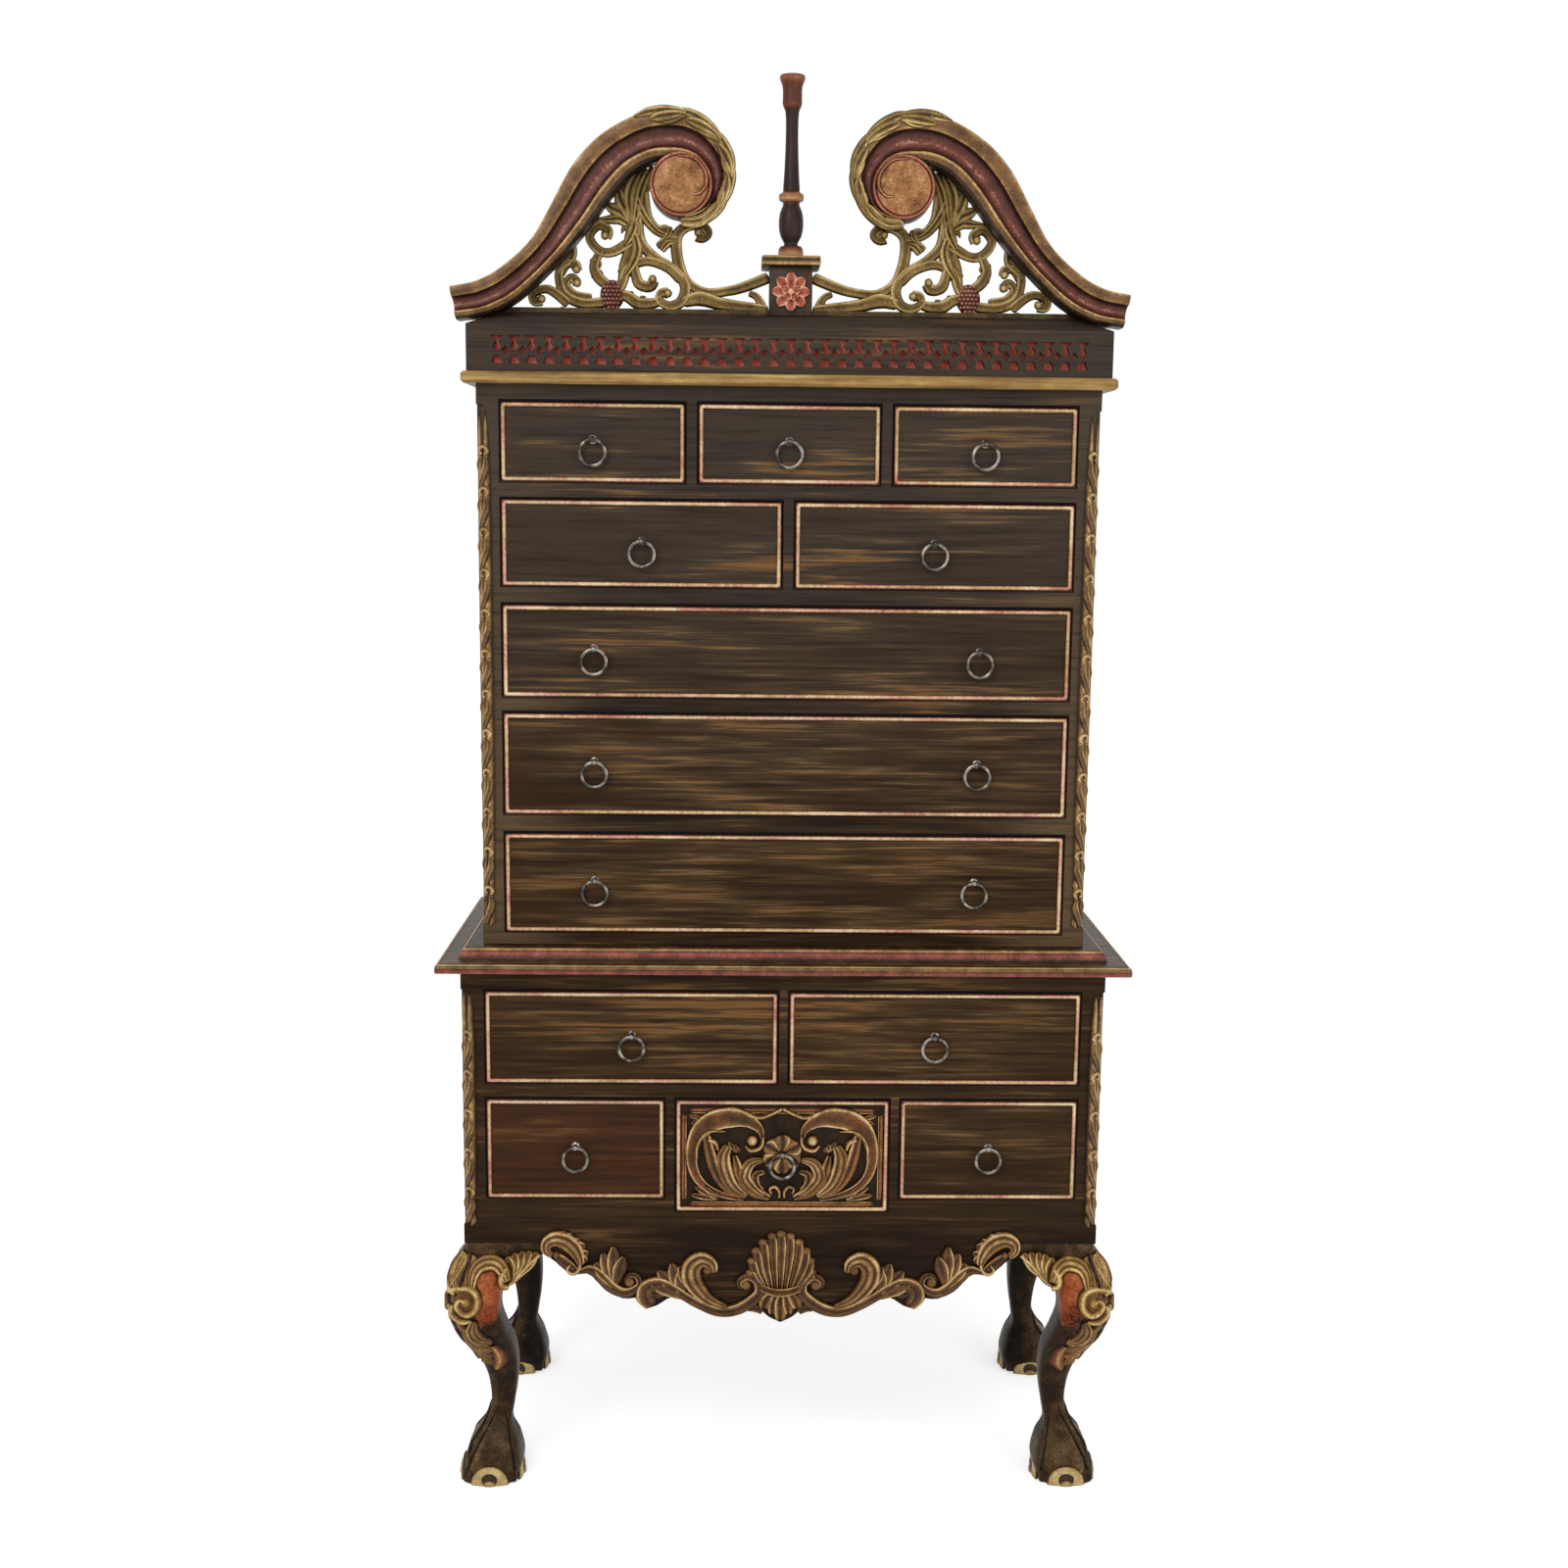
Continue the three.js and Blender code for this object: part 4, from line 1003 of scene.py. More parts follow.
    def ring(self, name: str) -> None:
        """Builds a ring pull and the eye that it hangs in.

        Args:
            name: The name of the drawer, with the side where it has two rings.
        """
        low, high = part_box(f"ring_pull_{name}")
        middle = (low + high) / 2
        drawer = next(body for body in frame["bodies"] if body.startswith("drawer_") and self.serves(body, name))
        shape = Shape()
        stations = []
        for i in range(self.ring_steps + 1):
            angle = 2 * math.pi * i / self.ring_steps
            out = Vector((math.cos(angle), 0, math.sin(angle)))
            way = Vector((-math.sin(angle), 0, math.cos(angle)))
            stations.append(station(middle + out * self.ring_radius, way, out, self.ring_wire, self.ring_wire))
        angles = [2 * math.pi * i / self.wire_steps for i in range(self.wire_steps)]
        shape.sweep([(math.cos(angle), math.sin(angle)) for angle in angles], stations, caps=False)
        bmesh.ops.remove_doubles(shape.bm, verts=shape.bm.verts, dist=0.05 * MM)
        shape.finish(f"ring_{name}", [self.paints.metal], Slot.RING, [f"ring_pull_{name}"], f"ring_{name}")
        eye = Shape()
        top = Vector((middle.x, middle.y, middle.z + self.ring_radius))
        eye.dome(top, Vector((1, 1, 1)) * self.eye_ball, steps=self.eye_steps)
        wall = middle.y + self.eye_out
        sized = [(r * self.eye_ball, h * self.eye_ball) for r, h in EYE_PROFILE]
        eye.lathe(sized, Vector((top.x, wall + 0.1 * MM, top.z)), FRONT, self.eye_steps, [DARK] * len(sized))
        eye.finish(f"eye_{name}", [self.paints.metal], Slot.RING, body=drawer)

    @staticmethod
    def serves(body: str, ring: str) -> bool:
        """Tells whether a drawer's body carries a ring."""
        drawer = body.removeprefix("drawer_")
        return ring == drawer or ring in (f"{drawer}_left", f"{drawer}_right") and drawer.count("_") == 1


# The waist's profile: millimetres out from the chest and up from its foot, and the paint there; the dark tone on the
# step below the strip is painted shadow.
WAIST_LEVELS = (
    (8, 0, 0, 0), (20, 0.4, 0.1, 1), (30, 1.4, 0.3, 1), (32.6, 2.2, 0.5, 1), (33.6, 3.4, 0.62, 1), (34, 5, 0.5, 1),
    (34, 8.2, 0.45, 1), (34, 9.4, 0.15, 1), (33.9, 10, 0.35, 0), (33.9, 11, 0.55, 0), (33.7, 13.2, 0.52, 0),
    (33.4, 14, 0.2, 0), (32.8, 14.6, 0.7, 0), (31.6, 15.4, 1, 0), (30, 16, 0.8, 0), (28.8, 16.3, 0.2, 0),
    (27.8, 16.6, 0.1, 0), (26.4, 17, 0.06, 0), (24.6, 17.1, 0.25, 0), (10, 17.3, 0.3, 0), (2, 17.6, 0.1, 0),
    (1, 19, 0.05, 0), (0.6, 20.4, 0.3, 1), (0.4, 21.6, 0.5, 1), (-0.2, 25.4, 0.62, 1), (-1.4, 28.6, 0.5, 1),
    (-2.6, 29.8, 0.3, 1), (-4.2, 31.6, 0.85, 0), (-6, 33, 0.7, 0), (-8, 34.4, 0.3, 1), (-12, 35, 0.1, 0),
)


@dataclass
class Waist(Assembly):
    """The moulding between the chests: a red lip with gold edges, a dark step and a red strip above."""

    lip_out: float = 34 * MM

    def build(self) -> None:
        """Builds the moulding from stacked outlines, so that its mitres stay crisp."""
        low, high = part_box("waist_moulding")
        reach, front, back = high.x - self.lip_out, low.y + self.lip_out, high.y
        shape = Shape()
        levels = []
        for out, height, *_ in WAIST_LEVELS:
            edge = front - out * MM
            levels.append(level(reach + out * MM, back - edge, (0, edge, low.z + height * MM)))
        tones = [(tone, red) for *_, tone, red in WAIST_LEVELS]
        shape.stack([(-1, 0), (1, 0), (1, 1), (-1, 1)], levels, tones)
        shape.finish("waist", [self.paints.waist], Slot.RED, ["waist_moulding"])


# The edges of a swan neck: thousandths of its reach from the middle and of its rise above the deck.
OUTER_EDGE = (
    (1000, 120), (920, 151), (845, 227), (762, 363), (701, 546), (644, 728), (578, 862), (505, 951), (434, 1006),
    (364, 1025), (299, 1010), (233, 939), (188, 828), (173, 716), (187, 603), (218, 514), (266, 453), (318, 447),
)
INNER_EDGE = (
    (984, -49), (895, -22), (803, 59), (691, 241), (599, 426), (528, 594), (474, 699), (431, 748), (395, 767),
    (358, 770), (318, 765), (287, 745), (264, 700), (257, 645), (264, 590), (287, 545), (313, 530), (337, 525),
)
# Across the moulding and into its depth, and the tone and the red there; the tone is painted shade at the walls of the
# cove and under the inner bead, and a painted highlight along the cove's middle.
NECK_PROFILE = (
    (1, 1, 0, 0), (0.97, 1, 0, 0), (0.03, 1, 0, 0), (0, 1, 0, 0), (0, 0.96, 0.1, 0), (0, 0.6, 0.35, 0),
    (0, 0.25, 0.45, 0.2), (0.008, 0.13, 0.8, 0), (0.04, 0.05, 0.85, 0.1), (0.1, 0.01, 0.55, 0.25),
    (0.2, 0, 0.45, 0.32), (0.28, 0.02, 0.55, 0.25), (0.315, 0.045, 0.8, 0), (0.335, 0.08, 0.3, 0.3),
    (0.342, 0.15, 0, 1), (0.36, 0.2, 0.16, 1), (0.41, 0.27, 0.4, 1), (0.48, 0.31, 0.56, 1), (0.57, 0.32, 0.8, 1),
    (0.65, 0.3, 0.56, 1), (0.72, 0.25, 0.34, 1), (0.745, 0.18, 0.05, 1), (0.76, 0.12, 0.7, 0.1), (0.79, 0.09, 1, 0),
    (0.83, 0.1, 0.55, 0.2), (0.87, 0.11, 0.4, 0.3), (0.9, 0.12, 0.6, 0.1), (0.925, 0.16, 0.2, 0),
    (0.985, 0.22, 0.02, 0), (1, 0.3, 0, 0), (1, 0.6, 0, 0), (1, 0.96, 0, 0),
)
# The roots of the leaf clusters on a neck, and the lobes of a cluster, as places along and across from its root.
LEAF_ROOTS = (0.5, 0.6, 0.7, 0.79, 0.87, 0.935)
LEAF_LOBES = (
    (((0.08, 0.07), (0.02, 0.05), (-0.055, 0.04)), 15),
    (((0.08, 0.11), (0.025, 0.16), (-0.02, 0.2)), 16),
    (((0.07, 0.15), (0.045, 0.23), (0.01, 0.29)), 11),
)
# The turned boss in a scroll: out from its middle and back from its crown, as shares of its radius and of how
# proud it stands, and the tone there.
BOSS_SHARES = (
    (0, 0, 0.62), (0.3, 0.03, 0.62), (0.6, 0.12, 0.6), (0.78, 0.24, 0.62), (0.85, 0.36, 0.7), (0.875, 0.6, 0.15),
    (0.9, 0.44, 0.4), (0.94, 0.36, 0.8), (0.975, 0.5, 0.6), (1, 0.95, 0.3), (1, 1.4, 0.15),
)
# Where the red groove of the right scroll winds into its rosette, as shares of the radius.
GROOVE_SHARES = ((0.1, 0.86), (-0.4, 0.78), (-0.74, 0.42), (-0.8, 0.0), (-0.56, -0.3), (-0.3, -0.3))
# The long ribs that curl round under the rosette: their places across the moulding, and their widths.
SCROLL_RIBS = ((0.14, 9), (0.4, 9), (0.64, 7), (0.86, 6))


@dataclass
class Pediment(Assembly):
    """The swan necks with their rosettes, the open scrollwork between them, the plinth and the finial."""

    reach: float = 500 * MM
    rise: float = 280 * MM
    depth: float = 47 * MM
    stations: int = 84
    rosette_place: Point = (324, 645)
    rosette_radius: float = 46 * MM
    rosette_proud: float = 6 * MM
    rosette_steps: int = 56
    finial_steps: int = 40
    fruit_place: Point = (532, 100)
    fruit_size: Triple = (18.0, 9.0, 22.5)
    fruit_knob: Triple = (3.4, 2.4, 3.1)
    fruit_rows: int = 7
    fruit_round: float = 5.4
    fruit_squash: float = 0.92
    fruit_spread: float = 0.84
    vine_wide: float = 16.0
    lobe_pitch: float = 17.0
    eye: float = 6.5 * MM
    rail_high: float = 9 * MM
    cap_out: float = 12 * MM
    cap_high: float = 15 * MM
    flower_high: float = 35 * MM
    foot: float = field(init=False)
    face: float = field(init=False)

    def __post_init__(self) -> None:
        """Takes the pediment's foot and front from the solids."""
        self.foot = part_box("pediment_openwork")[0].z
        self.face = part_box("swan_neck_left")[0].y + self.rosette_proud

    def spot(self, x: float, z: float) -> Vector:
        """Gives the place of thousandths of the reach and the rise, on the face of the necks."""
        return Vector((x / 1000 * self.reach, self.face, self.foot + z / 1000 * self.rise))

    def neck_place(self, side: int, share: float, across: float, deep: float = 0.0) -> Vector:
        """Gives a place on a neck.

        Args:
            side: -1 for the left neck, 1 for the right one.
            share: How far from the tip to the scroll, from 0 to 1.
            across: How far from the outer to the inner edge, from 0 to 1.
            deep: How far behind the face, as a share of the depth.

        Returns:
            The place.
        """
        outer = along([self.spot(side * x, z) for x, z in OUTER_EDGE], share)
        inner = along([self.spot(side * x, z) for x, z in INNER_EDGE], share)
        place = outer.lerp(inner, across)
        place.y += deep * self.depth
        return place

    def build(self) -> None:
        """Builds every piece of the pediment."""
        for side, name in SIDES:
            self.neck(side, name)
            self.leaves(side, name)
            self.rosette(side, name)
            self.fruit(side, name)
        self.vines()
        self.plinth()
        self.flower()
        self.finial()

    def neck(self, side: int, name: str) -> None:
        """Sweeps a neck's moulding from its tip over the top and into the scroll."""
        shape = Shape()
        stations = []
        for i in range(self.stations + 1):
            outer = self.neck_place(side, i / self.stations, 0)
            across = self.neck_place(side, i / self.stations, 1) - outer
            way = across.cross(BACK)
            matrix = Matrix((across, BACK * self.depth, way)).transposed().to_4x4()
            matrix.translation = outer
            stations.append(matrix)
        tones = [(tone, red) for *_, tone, red in NECK_PROFILE]
        shape.sweep([(a, d) for a, d, *_ in NECK_PROFILE], stations, lambda spot, share: tones[spot])
        shape.finish(f"neck_{name}", [self.paints.neck], Slot.GOLD, [f"swan_neck_{name}"])

    def leaves(self, side: int, name: str) -> None:
        """Carves the acanthus clusters along the outer band, and the ribs that curl round the scroll."""
        shape = Shape()

        def band(share: float, across: float) -> tuple[Vector, Vector]:
            """Gives a place on the neck's moulding, which is hollow inside its outer band."""
            deep = 0.05 - 0.05 * math.sin(math.pi * between(across, 0, 0.36))
            if across > 0.35:
                deep = 0.2 * min(1, (across - 0.35) / 0.1)
            return self.neck_place(side, min(1.0, share), across, deep), FRONT

        for root in LEAF_ROOTS:
            for course, wide in LEAF_LOBES:
                self.lobe(shape, band, [(root + s, a) for s, a in course], wide, 3.2)
        for across, wide in SCROLL_RIBS:
            course = [(0.86, across + 0.04), (0.9, across), (0.94, across), (0.975, across), (0.998, across + 0.03)]
            self.lobe(shape, band, course, wide, 9 if across > 0.36 else 4)
        shape.finish(f"neck_leaves_{name}", [self.paints.vine], Slot.GOLD, smooth=1)

    def lobe(self, shape: Shape, band: Surface, course: Sequence[Point], wide: float, high: float) -> None:
        """Carves one lobe of a leaf on the band of a neck.

        Args:
            shape: The mesh that takes it.
            band: The surface of the neck, by its share along and across.
            course: The lobe's places on it.
            wide: Its width in millimetres.
            high: How far it stands out in millimetres.
        """
        steps = 4 * len(course)
        stations = []
        spots = [Vector(place) for place in course]
        for i in range(steps + 1):
            here, ahead = along(spots, i / steps), along(spots, min(1, (i + 0.5) / steps))
            behind = along(spots, max(0, (i - 0.5) / steps))
            point, out = band(*here)
            way = band(*ahead)[0] - band(*behind)[0]
            reach = straight((0.5, 0.85, 1.0, 0.9, 0.25), i / steps) * wide * MM / 2
            stations.append(station(point, way, out, reach, high * MM))
        rows = BLADE.value
        shape.sweep([(x, y) for x, y, _ in rows], stations, lambda spot, share: (rows[spot][2], 0.0))

    def rosette(self, side: int, name: str) -> None:
        """Turns the boss in the scroll."""
        shape = Shape()
        x, z = self.rosette_place
        middle = self.spot(side * x, z)
        radius, proud = self.rosette_radius, self.rosette_proud
        back = self.depth + proud
        profile = [(r * radius, y * proud) for r, y, _ in BOSS_SHARES] + [(radius, back), (0, back)]
        tones = [(tone, 0.62 if r > 0.8 else 0.3) for r, _, tone in BOSS_SHARES] + [DARK, DARK]
        start = Vector((middle.x, self.face - proud, middle.z))
        shape.lathe(profile, start, BACK, self.rosette_steps, tones)
        groove = tuple((x * radius / MM, z * radius / MM) for x, z in GROOVE_SHARES)
        ridges = ((groove, (3, 5, 6, 6, 5, 3), 1.0, 1.0), (groove[2:], (2, 2.5, 2.5, 2), 0.0, 0.4))
        for course, wide, red, sunk in ridges:
            ground = Ground(flat_face(start.y + sunk * MM), (middle.x, middle.z), side < 0)
            shape.carve(ground, Stroke(course, wide, 2.2, ROUND, red, 0.2 * red))
        shape.finish(f"rosette_{name}", [self.paints.rosette], Slot.GOLD, [f"swan_neck_{name}"])

    def in_mm(self, course: Sequence[Point]) -> tuple[Point, ...]:
        """Turns thousandths of the reach and the rise into millimetres from the middle of the deck."""
        return tuple((x / 1000 * self.reach / MM, z / 1000 * self.rise / MM) for x, z in course)

    def vines(self) -> None:
        """Carves the open scrollwork, both sides, with its eyes, its leaves and its base rail."""
        low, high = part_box("pediment_openwork")
        thick = (high.y - low.y) / MM
        shape = Shape()
        for side, _ in SIDES:
            ground = Ground(flat_face(high.y), (0.0, self.foot), side < 0)
            for course, wide in VINES:
                widths = tuple(share * self.vine_wide for share in wide)
                shape.carve(ground, Stroke(self.in_mm(course), widths, thick, PIERCED))
            for course, wide in ACANTHUS:
                shape.carve(ground, Stroke(self.in_mm(course), wide, 1.12 * thick, THICK_LEAF))
            for x, z in CURL_EYES:
                middle = self.spot(side * x, z)
                middle.y = low.y + 3 * MM
                shape.dome(middle, Vector((self.eye, 7 * MM, self.eye)))
            self.lobes(shape, ground, thick)
        reach, head = 0.9 * self.reach, self.foot + self.rail_high
        shape.box(Vector((-reach, low.y + MM, self.foot)), Vector((reach, high.y, head)), MM, SHADED)
        shape.finish("scrollwork", [self.paints.vine], Slot.CARVING, ["pediment_openwork"], smooth=1)

    def lobes(self, shape: Shape, ground: Ground, thick: float) -> None:
        """Adds the leaf lobes that stand out along the larger vines.

        Args:
            shape: The mesh that takes them.
            ground: The back of one side of the scrollwork.
            thick: The scrollwork's thickness in millimetres.
        """
        for places, wide, long, both in LOBES:
            course = [Vector(place) for place in self.in_mm(places)]
            count = max(2, int(sum((b - a).length for a, b in zip(course, course[1:])) / self.lobe_pitch))
            for i in range(1, count + 1):
                share = (i - 0.4) / (count + 0.2)
                here = along(course, share)
                way = (along(course, min(1, share + 0.03)) - along(course, max(0, share - 0.03))).normalized()
                for turn in (-1, 1) if both else (1,):
                    across = Vector((-way.y, way.x)) * turn
                    tip = here + across * long + way * 0.8 * long
                    middle = here + across * 0.62 * long + way * 0.2 * long
                    lobe = (tuple(here), tuple(middle), tuple(tip))
                    widths = (wide, wide, 0.8 * wide, 0.2 * wide)
                    shape.carve(ground, Stroke(lobe, widths, 0.9 * thick, THICK_LEAF))

    def fruit(self, side: int, name: str) -> None:
        """Models a red fruit with its cross-cut skin."""
        shape = Shape()
        middle = self.spot(side * self.fruit_place[0], self.fruit_place[1])
        middle.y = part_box("pediment_openwork")[0].y + 7 * MM
        size = Vector(self.fruit_size)
        shape.dome(middle, size * MM, SHADED, steps=20)
        for row in range(self.fruit_rows):
            z = self.fruit_squash * ((row + 0.5) / self.fruit_rows * 2 - 1)
            wide = math.sqrt(1 - z**2)
            count = max(2, round(self.fruit_round * wide))
            for i in range(count):
                x = ((i + 0.5 + 0.25 * (-1) ** row) / count * 2 - 1) * self.fruit_spread * wide
                proud = math.sqrt(max(0, 1 - x * x - z**2))
                place = middle + Vector((x * size.x, -proud * size.y, z * size.z)) * MM
                shape.dome(place, Vector(self.fruit_knob) * MM, steps=8)
        fruit = Gilding("fruit paint", ramp("190b08", "3c1c15", "5f3128", "7d483b", "a87660")).make()
        shape.finish(f"fruit_{name}", [fruit], Slot.CARVING)

    def plinth(self) -> None:
        """Builds the block that carries the finial, with its moulded cap."""
        low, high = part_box("plinth")
        shape = Shape()
        foot = high.z - self.cap_high
        body_low = Vector((low.x + self.cap_out, low.y + self.cap_out, low.z))
        body_high = Vector((high.x - self.cap_out, high.y - self.cap_out, foot))
        shape.box(body_low, body_high, 1.2 * MM, (0.12, 0.0))
        middle = (low + high) / 2
        half = (body_high.x - body_low.x) / 2
        levels = []
        for out, height, _ in CAP_LEVELS:
            levels.append(level(half + out * MM, half + out * MM, (middle.x, middle.y, foot + height * MM)))
        shape.stack([(-1, -1), (1, -1), (1, 1), (-1, 1)], levels, [(tone, 0.0) for *_, tone in CAP_LEVELS])
        shape.finish("finial_block", [self.paints.gold], Slot.CASE, ["plinth"])

    def flower(self) -> None:
        """Carves the double flower on the block's face."""
        low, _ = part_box("plinth")
        face = low.y + self.cap_out
        middle = Vector((0, face, low.z + self.flower_high))
        shape = Shape()
        ground = Ground(flat_face(face), (middle.x, middle.z))
        for petals, reach, wide, high in ((8, 28, 18, 6), (5, 15, 14, 10)):
            widths = tuple(share * wide for share in (0.35, 0.7, 1, 0.9, 0.3))
            shape.petals(petals, (0.1, 0.55, 1), reach, Stroke((), widths, high, HOLLOW), ground)
        shape.dome(middle + FRONT * 5 * MM, Vector((6, 5, 6)) * MM)
        shape.finish("block_flower", [self.paints.flower], Slot.CARVING, smooth=1)

    def finial(self) -> None:
        """Turns the finial: a vase on a ringed foot, a long tapering shaft and a cup."""
        low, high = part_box("finial")
        radius, tall = (high.x - low.x) / 2, high.z - low.z
        shape = Shape()
        profile = [(r * radius, z * tall) for r, z, _ in FINIAL_SHARES]
        tones = [(tone, 0.0) for *_, tone in FINIAL_SHARES]
        middle = (low + high) / 2
        shape.lathe(profile, Vector((middle.x, middle.y, low.z)), UP, self.finial_steps, tones)
        turned = Gilding("finial paint", ramp("241a14", "3f2319", "60301f", "8f5a38", "c29468"), worn=0.2).make()
        shape.finish("spire", [turned], Slot.FINIAL, ["finial"])


# The cap of the block: millimetres out from the block and up from its head, and the tone there.
CAP_LEVELS = (
    (0, 0, 0), (6, 0, 0.1), (9, 0.6, 0.4), (11, 1.6, 0.85), (12, 3.2, 0.9), (12, 6, 0.5), (11.2, 8, 0.1),
    (11.2, 10, 0.2), (11.6, 11.5, 0.6), (11.2, 13.4, 0.95), (9.6, 14.4, 0.7), (7, 15, 0.4), (0, 15, 0.25),
)
# The finial's turned profile: shares of the radius and the height, and the tone there.
FINIAL_SHARES = (
    (0, 0, 0), (0.94, 0, 0.9), (1, 0.012, 1), (1, 0.03, 0.85), (0.96, 0.05, 0.5), (0.85, 0.063, 0.2), (0.56, 0.07, 0),
    (0.54, 0.08, 0), (0.62, 0.092, 0.05), (0.82, 0.118, 0.1), (0.94, 0.15, 0.12), (0.98, 0.18, 0.12),
    (0.97, 0.215, 0.12), (0.9, 0.25, 0.08), (0.78, 0.273, 0.05), (0.66, 0.29, 0.1), (0.65, 0.306, 0.4),
    (0.8, 0.312, 0.9), (0.97, 0.32, 1), (1, 0.335, 0.85), (0.97, 0.35, 0.8), (0.8, 0.358, 0.6), (0.66, 0.366, 0.1),
    (0.665, 0.39, 0.05), (0.63, 0.42, 0.05), (0.58, 0.48, 0.08), (0.53, 0.56, 0.08), (0.5, 0.64, 0.06),
    (0.49, 0.7, 0.06), (0.5, 0.76, 0.05), (0.54, 0.8, 0.05), (0.6, 0.817, 0.2), (0.68, 0.825, 0.5),
    (0.74, 0.838, 0.55), (0.78, 0.85, 0.5), (0.76, 0.87, 0.4), (0.76, 0.92, 0.42), (0.8, 0.945, 0.45),
    (0.92, 0.965, 0.6), (1, 0.98, 0.75), (1, 0.993, 0.6), (0.95, 1, 0.5), (0.6, 1, 0.3), (0.52, 0.99, 0.1),
    (0.45, 0.975, 0), (0, 0.97, 0),
)
# The vines of the open scrollwork: their course in the same thousandths, their widths in shares of vine_wide.
VINES = (
    (((497, 690), (486, 537), (478, 400)), (1.6, 1.2, 0.7)),
    (((434, 758), (457, 588), (463, 400)), (2.4, 1.6, 1)),
    (((445, 640), (428, 508), (399, 442), (373, 435), (352, 400)), (1.4, 1, 0.9, 1.2, 0.5)),
    (
        (
            (463, 508), (447, 373), (400, 293), (347, 234), (314, 154), (326, 73), (361, 49), (390, 75), (387, 115),
            (365, 115),
        ),
        (1.4, 1.1, 0.9, 1, 1.1, 1.1, 0.9, 0.8, 0.8, 1.1),
    ),
    (((468, 430), (477, 322), (492, 251), (501, 170), (515, 130)), (1.3, 1.5, 1.3, 1, 1)),
    (((501, 170), (480, 244), (428, 280), (367, 246), (325, 180)), (0.8, 0.9, 0.9, 0.9, 1)),
    (((468, 262), (454, 166), (419, 147), (408, 182)), (0.8, 1.1, 1, 1.1)),
    (
        (
            (278, 415), (262, 400), (247, 430), (266, 462), (303, 466), (335, 426), (342, 360), (333, 260),
            (306, 170), (253, 120), (186, 130), (134, 155), (64, 205),
        ),
        (1.3, 0.8, 0.9, 1, 1, 1.1, 1.1, 1.1, 0.9, 0.9, 0.9, 1, 1.1),
    ),
    (((400, 355), (370, 380), (335, 390)), (0.5, 1.2, 0.8)),
    (
        ((470, 385), (532, 323), (573, 334), (599, 402), (573, 460), (543, 435), (552, 400)),
        (1.1, 0.9, 0.9, 0.9, 0.9, 0.9, 1.2),
    ),
    (((565, 335), (585, 254), (573, 193), (545, 150)), (0.7, 1, 1.1, 1)),
    (((660, 393), (651, 297), (686, 239), (687, 155), (667, 90), (614, 55), (540, 67)), (1.2, 0.9, 0.9, 0.9, 1, 1, 1)),
    (((686, 200), (666, 257), (640, 257), (637, 225)), (0.7, 0.8, 0.9, 1)),
    (((634, 157), (652, 192), (669, 151), (643, 101), (591, 85)), (1, 0.8, 0.8, 0.8, 0.8)),
    (((739, 68), (765, 62), (768, 100), (738, 128), (707, 115), (660, 50)), (1, 0.8, 0.8, 0.8, 0.9, 1)),
    (((525, 110), (486, 94), (454, 60), (408, 62), (385, 85)), (0.8, 1.1, 1.2, 1, 0.8)),
    (((322, 68), (268, 90), (201, 60), (64, 35)), (1, 1.5, 1.2, 0.9)),
    (((125, 122), (100, 100), (84, 50)), (0.6, 0.7, 0.9)),
)
# The broad leaves between the neck and the rosette: their course likewise, their widths in millimetres.
ACANTHUS = (
    (((462, 460), (448, 600), (432, 690), (411, 764)), (10, 17, 19, 15, 6)),
    (((474, 460), (478, 597), (466, 680), (446, 740)), (10, 19, 24, 19, 7)),
    (((476, 480), (495, 561), (506, 609), (512, 650)), (10, 20, 25, 19, 6)),
    (((478, 480), (505, 530), (532, 550), (556, 575)), (10, 20, 22, 15, 5)),
    (((478, 460), (508, 495), (541, 490), (581, 488)), (10, 18, 17, 11, 4)),
    (((460, 609), (448, 544), (424, 476), (397, 428), (366, 404)), (9, 16, 14, 11, 8)),
    (((375, 392), (362, 416), (358, 457)), (7, 14, 5)),
    (((349, 380), (369, 371), (386, 332)), (7, 15, 10)),
    (((466, 500), (468, 450), (480, 400), (493, 355)), (14, 18, 17, 7)),
    (((468, 420), (458, 345), (468, 275), (493, 200)), (12, 19, 19, 8)),
)
# The knobs in the middle of the curls.
CURL_EYES = ((276, 428), (365, 112), (411, 185), (552, 405), (637, 230), (635, 160), (741, 75), (655, 390))
# Where leaf lobes stand out along the vines: course, width and length in millimetres, and whether on both sides.
LOBES = (
    (((497, 660), (486, 537), (478, 420)), 9, 13, False),
    (((468, 410), (480, 310), (500, 190)), 8, 10, True),
    (((565, 320), (583, 250), (573, 190)), 7, 9, True),
    (((322, 68), (268, 90), (201, 60)), 7, 9, True),
    (((530, 100), (486, 94), (430, 60)), 7, 9, True),
    (((660, 380), (651, 297), (680, 240)), 7, 9, False),
    (((700, 50), (660, 30), (600, 30)), 7, 9, False),
)


# The corner carving: the bands under it, without their course, and the strokes of one unit, in millimetres across
# the strip and up from the unit's foot.
CORNER_BAND = Stroke((), (5, 14, 14, 14, 14, 14, 5), 2.4, ROUND, 0.15, 0.15)
CORNER_STROKES = (
    Stroke(((6, 44), (7, 32), (3, 18), (-3, 6), (-7, -5)), (6, 11, 13, 11, 4), 2.2, LEAF),
    Stroke(((5, 47), (9, 53), (4, 59), (-4, 57), (-4, 50), (1, 50)), (5, 7, 7, 7, 6, 5), 2.4, ROUND),
    Stroke(((-6, 44), (-9, 33), (-7, 22)), (5, 8, 3), 1.8, LEAF),
    Stroke(((8, 18), (9, 8), (5, -1)), (4, 8, 3), 1.8, LEAF),
)


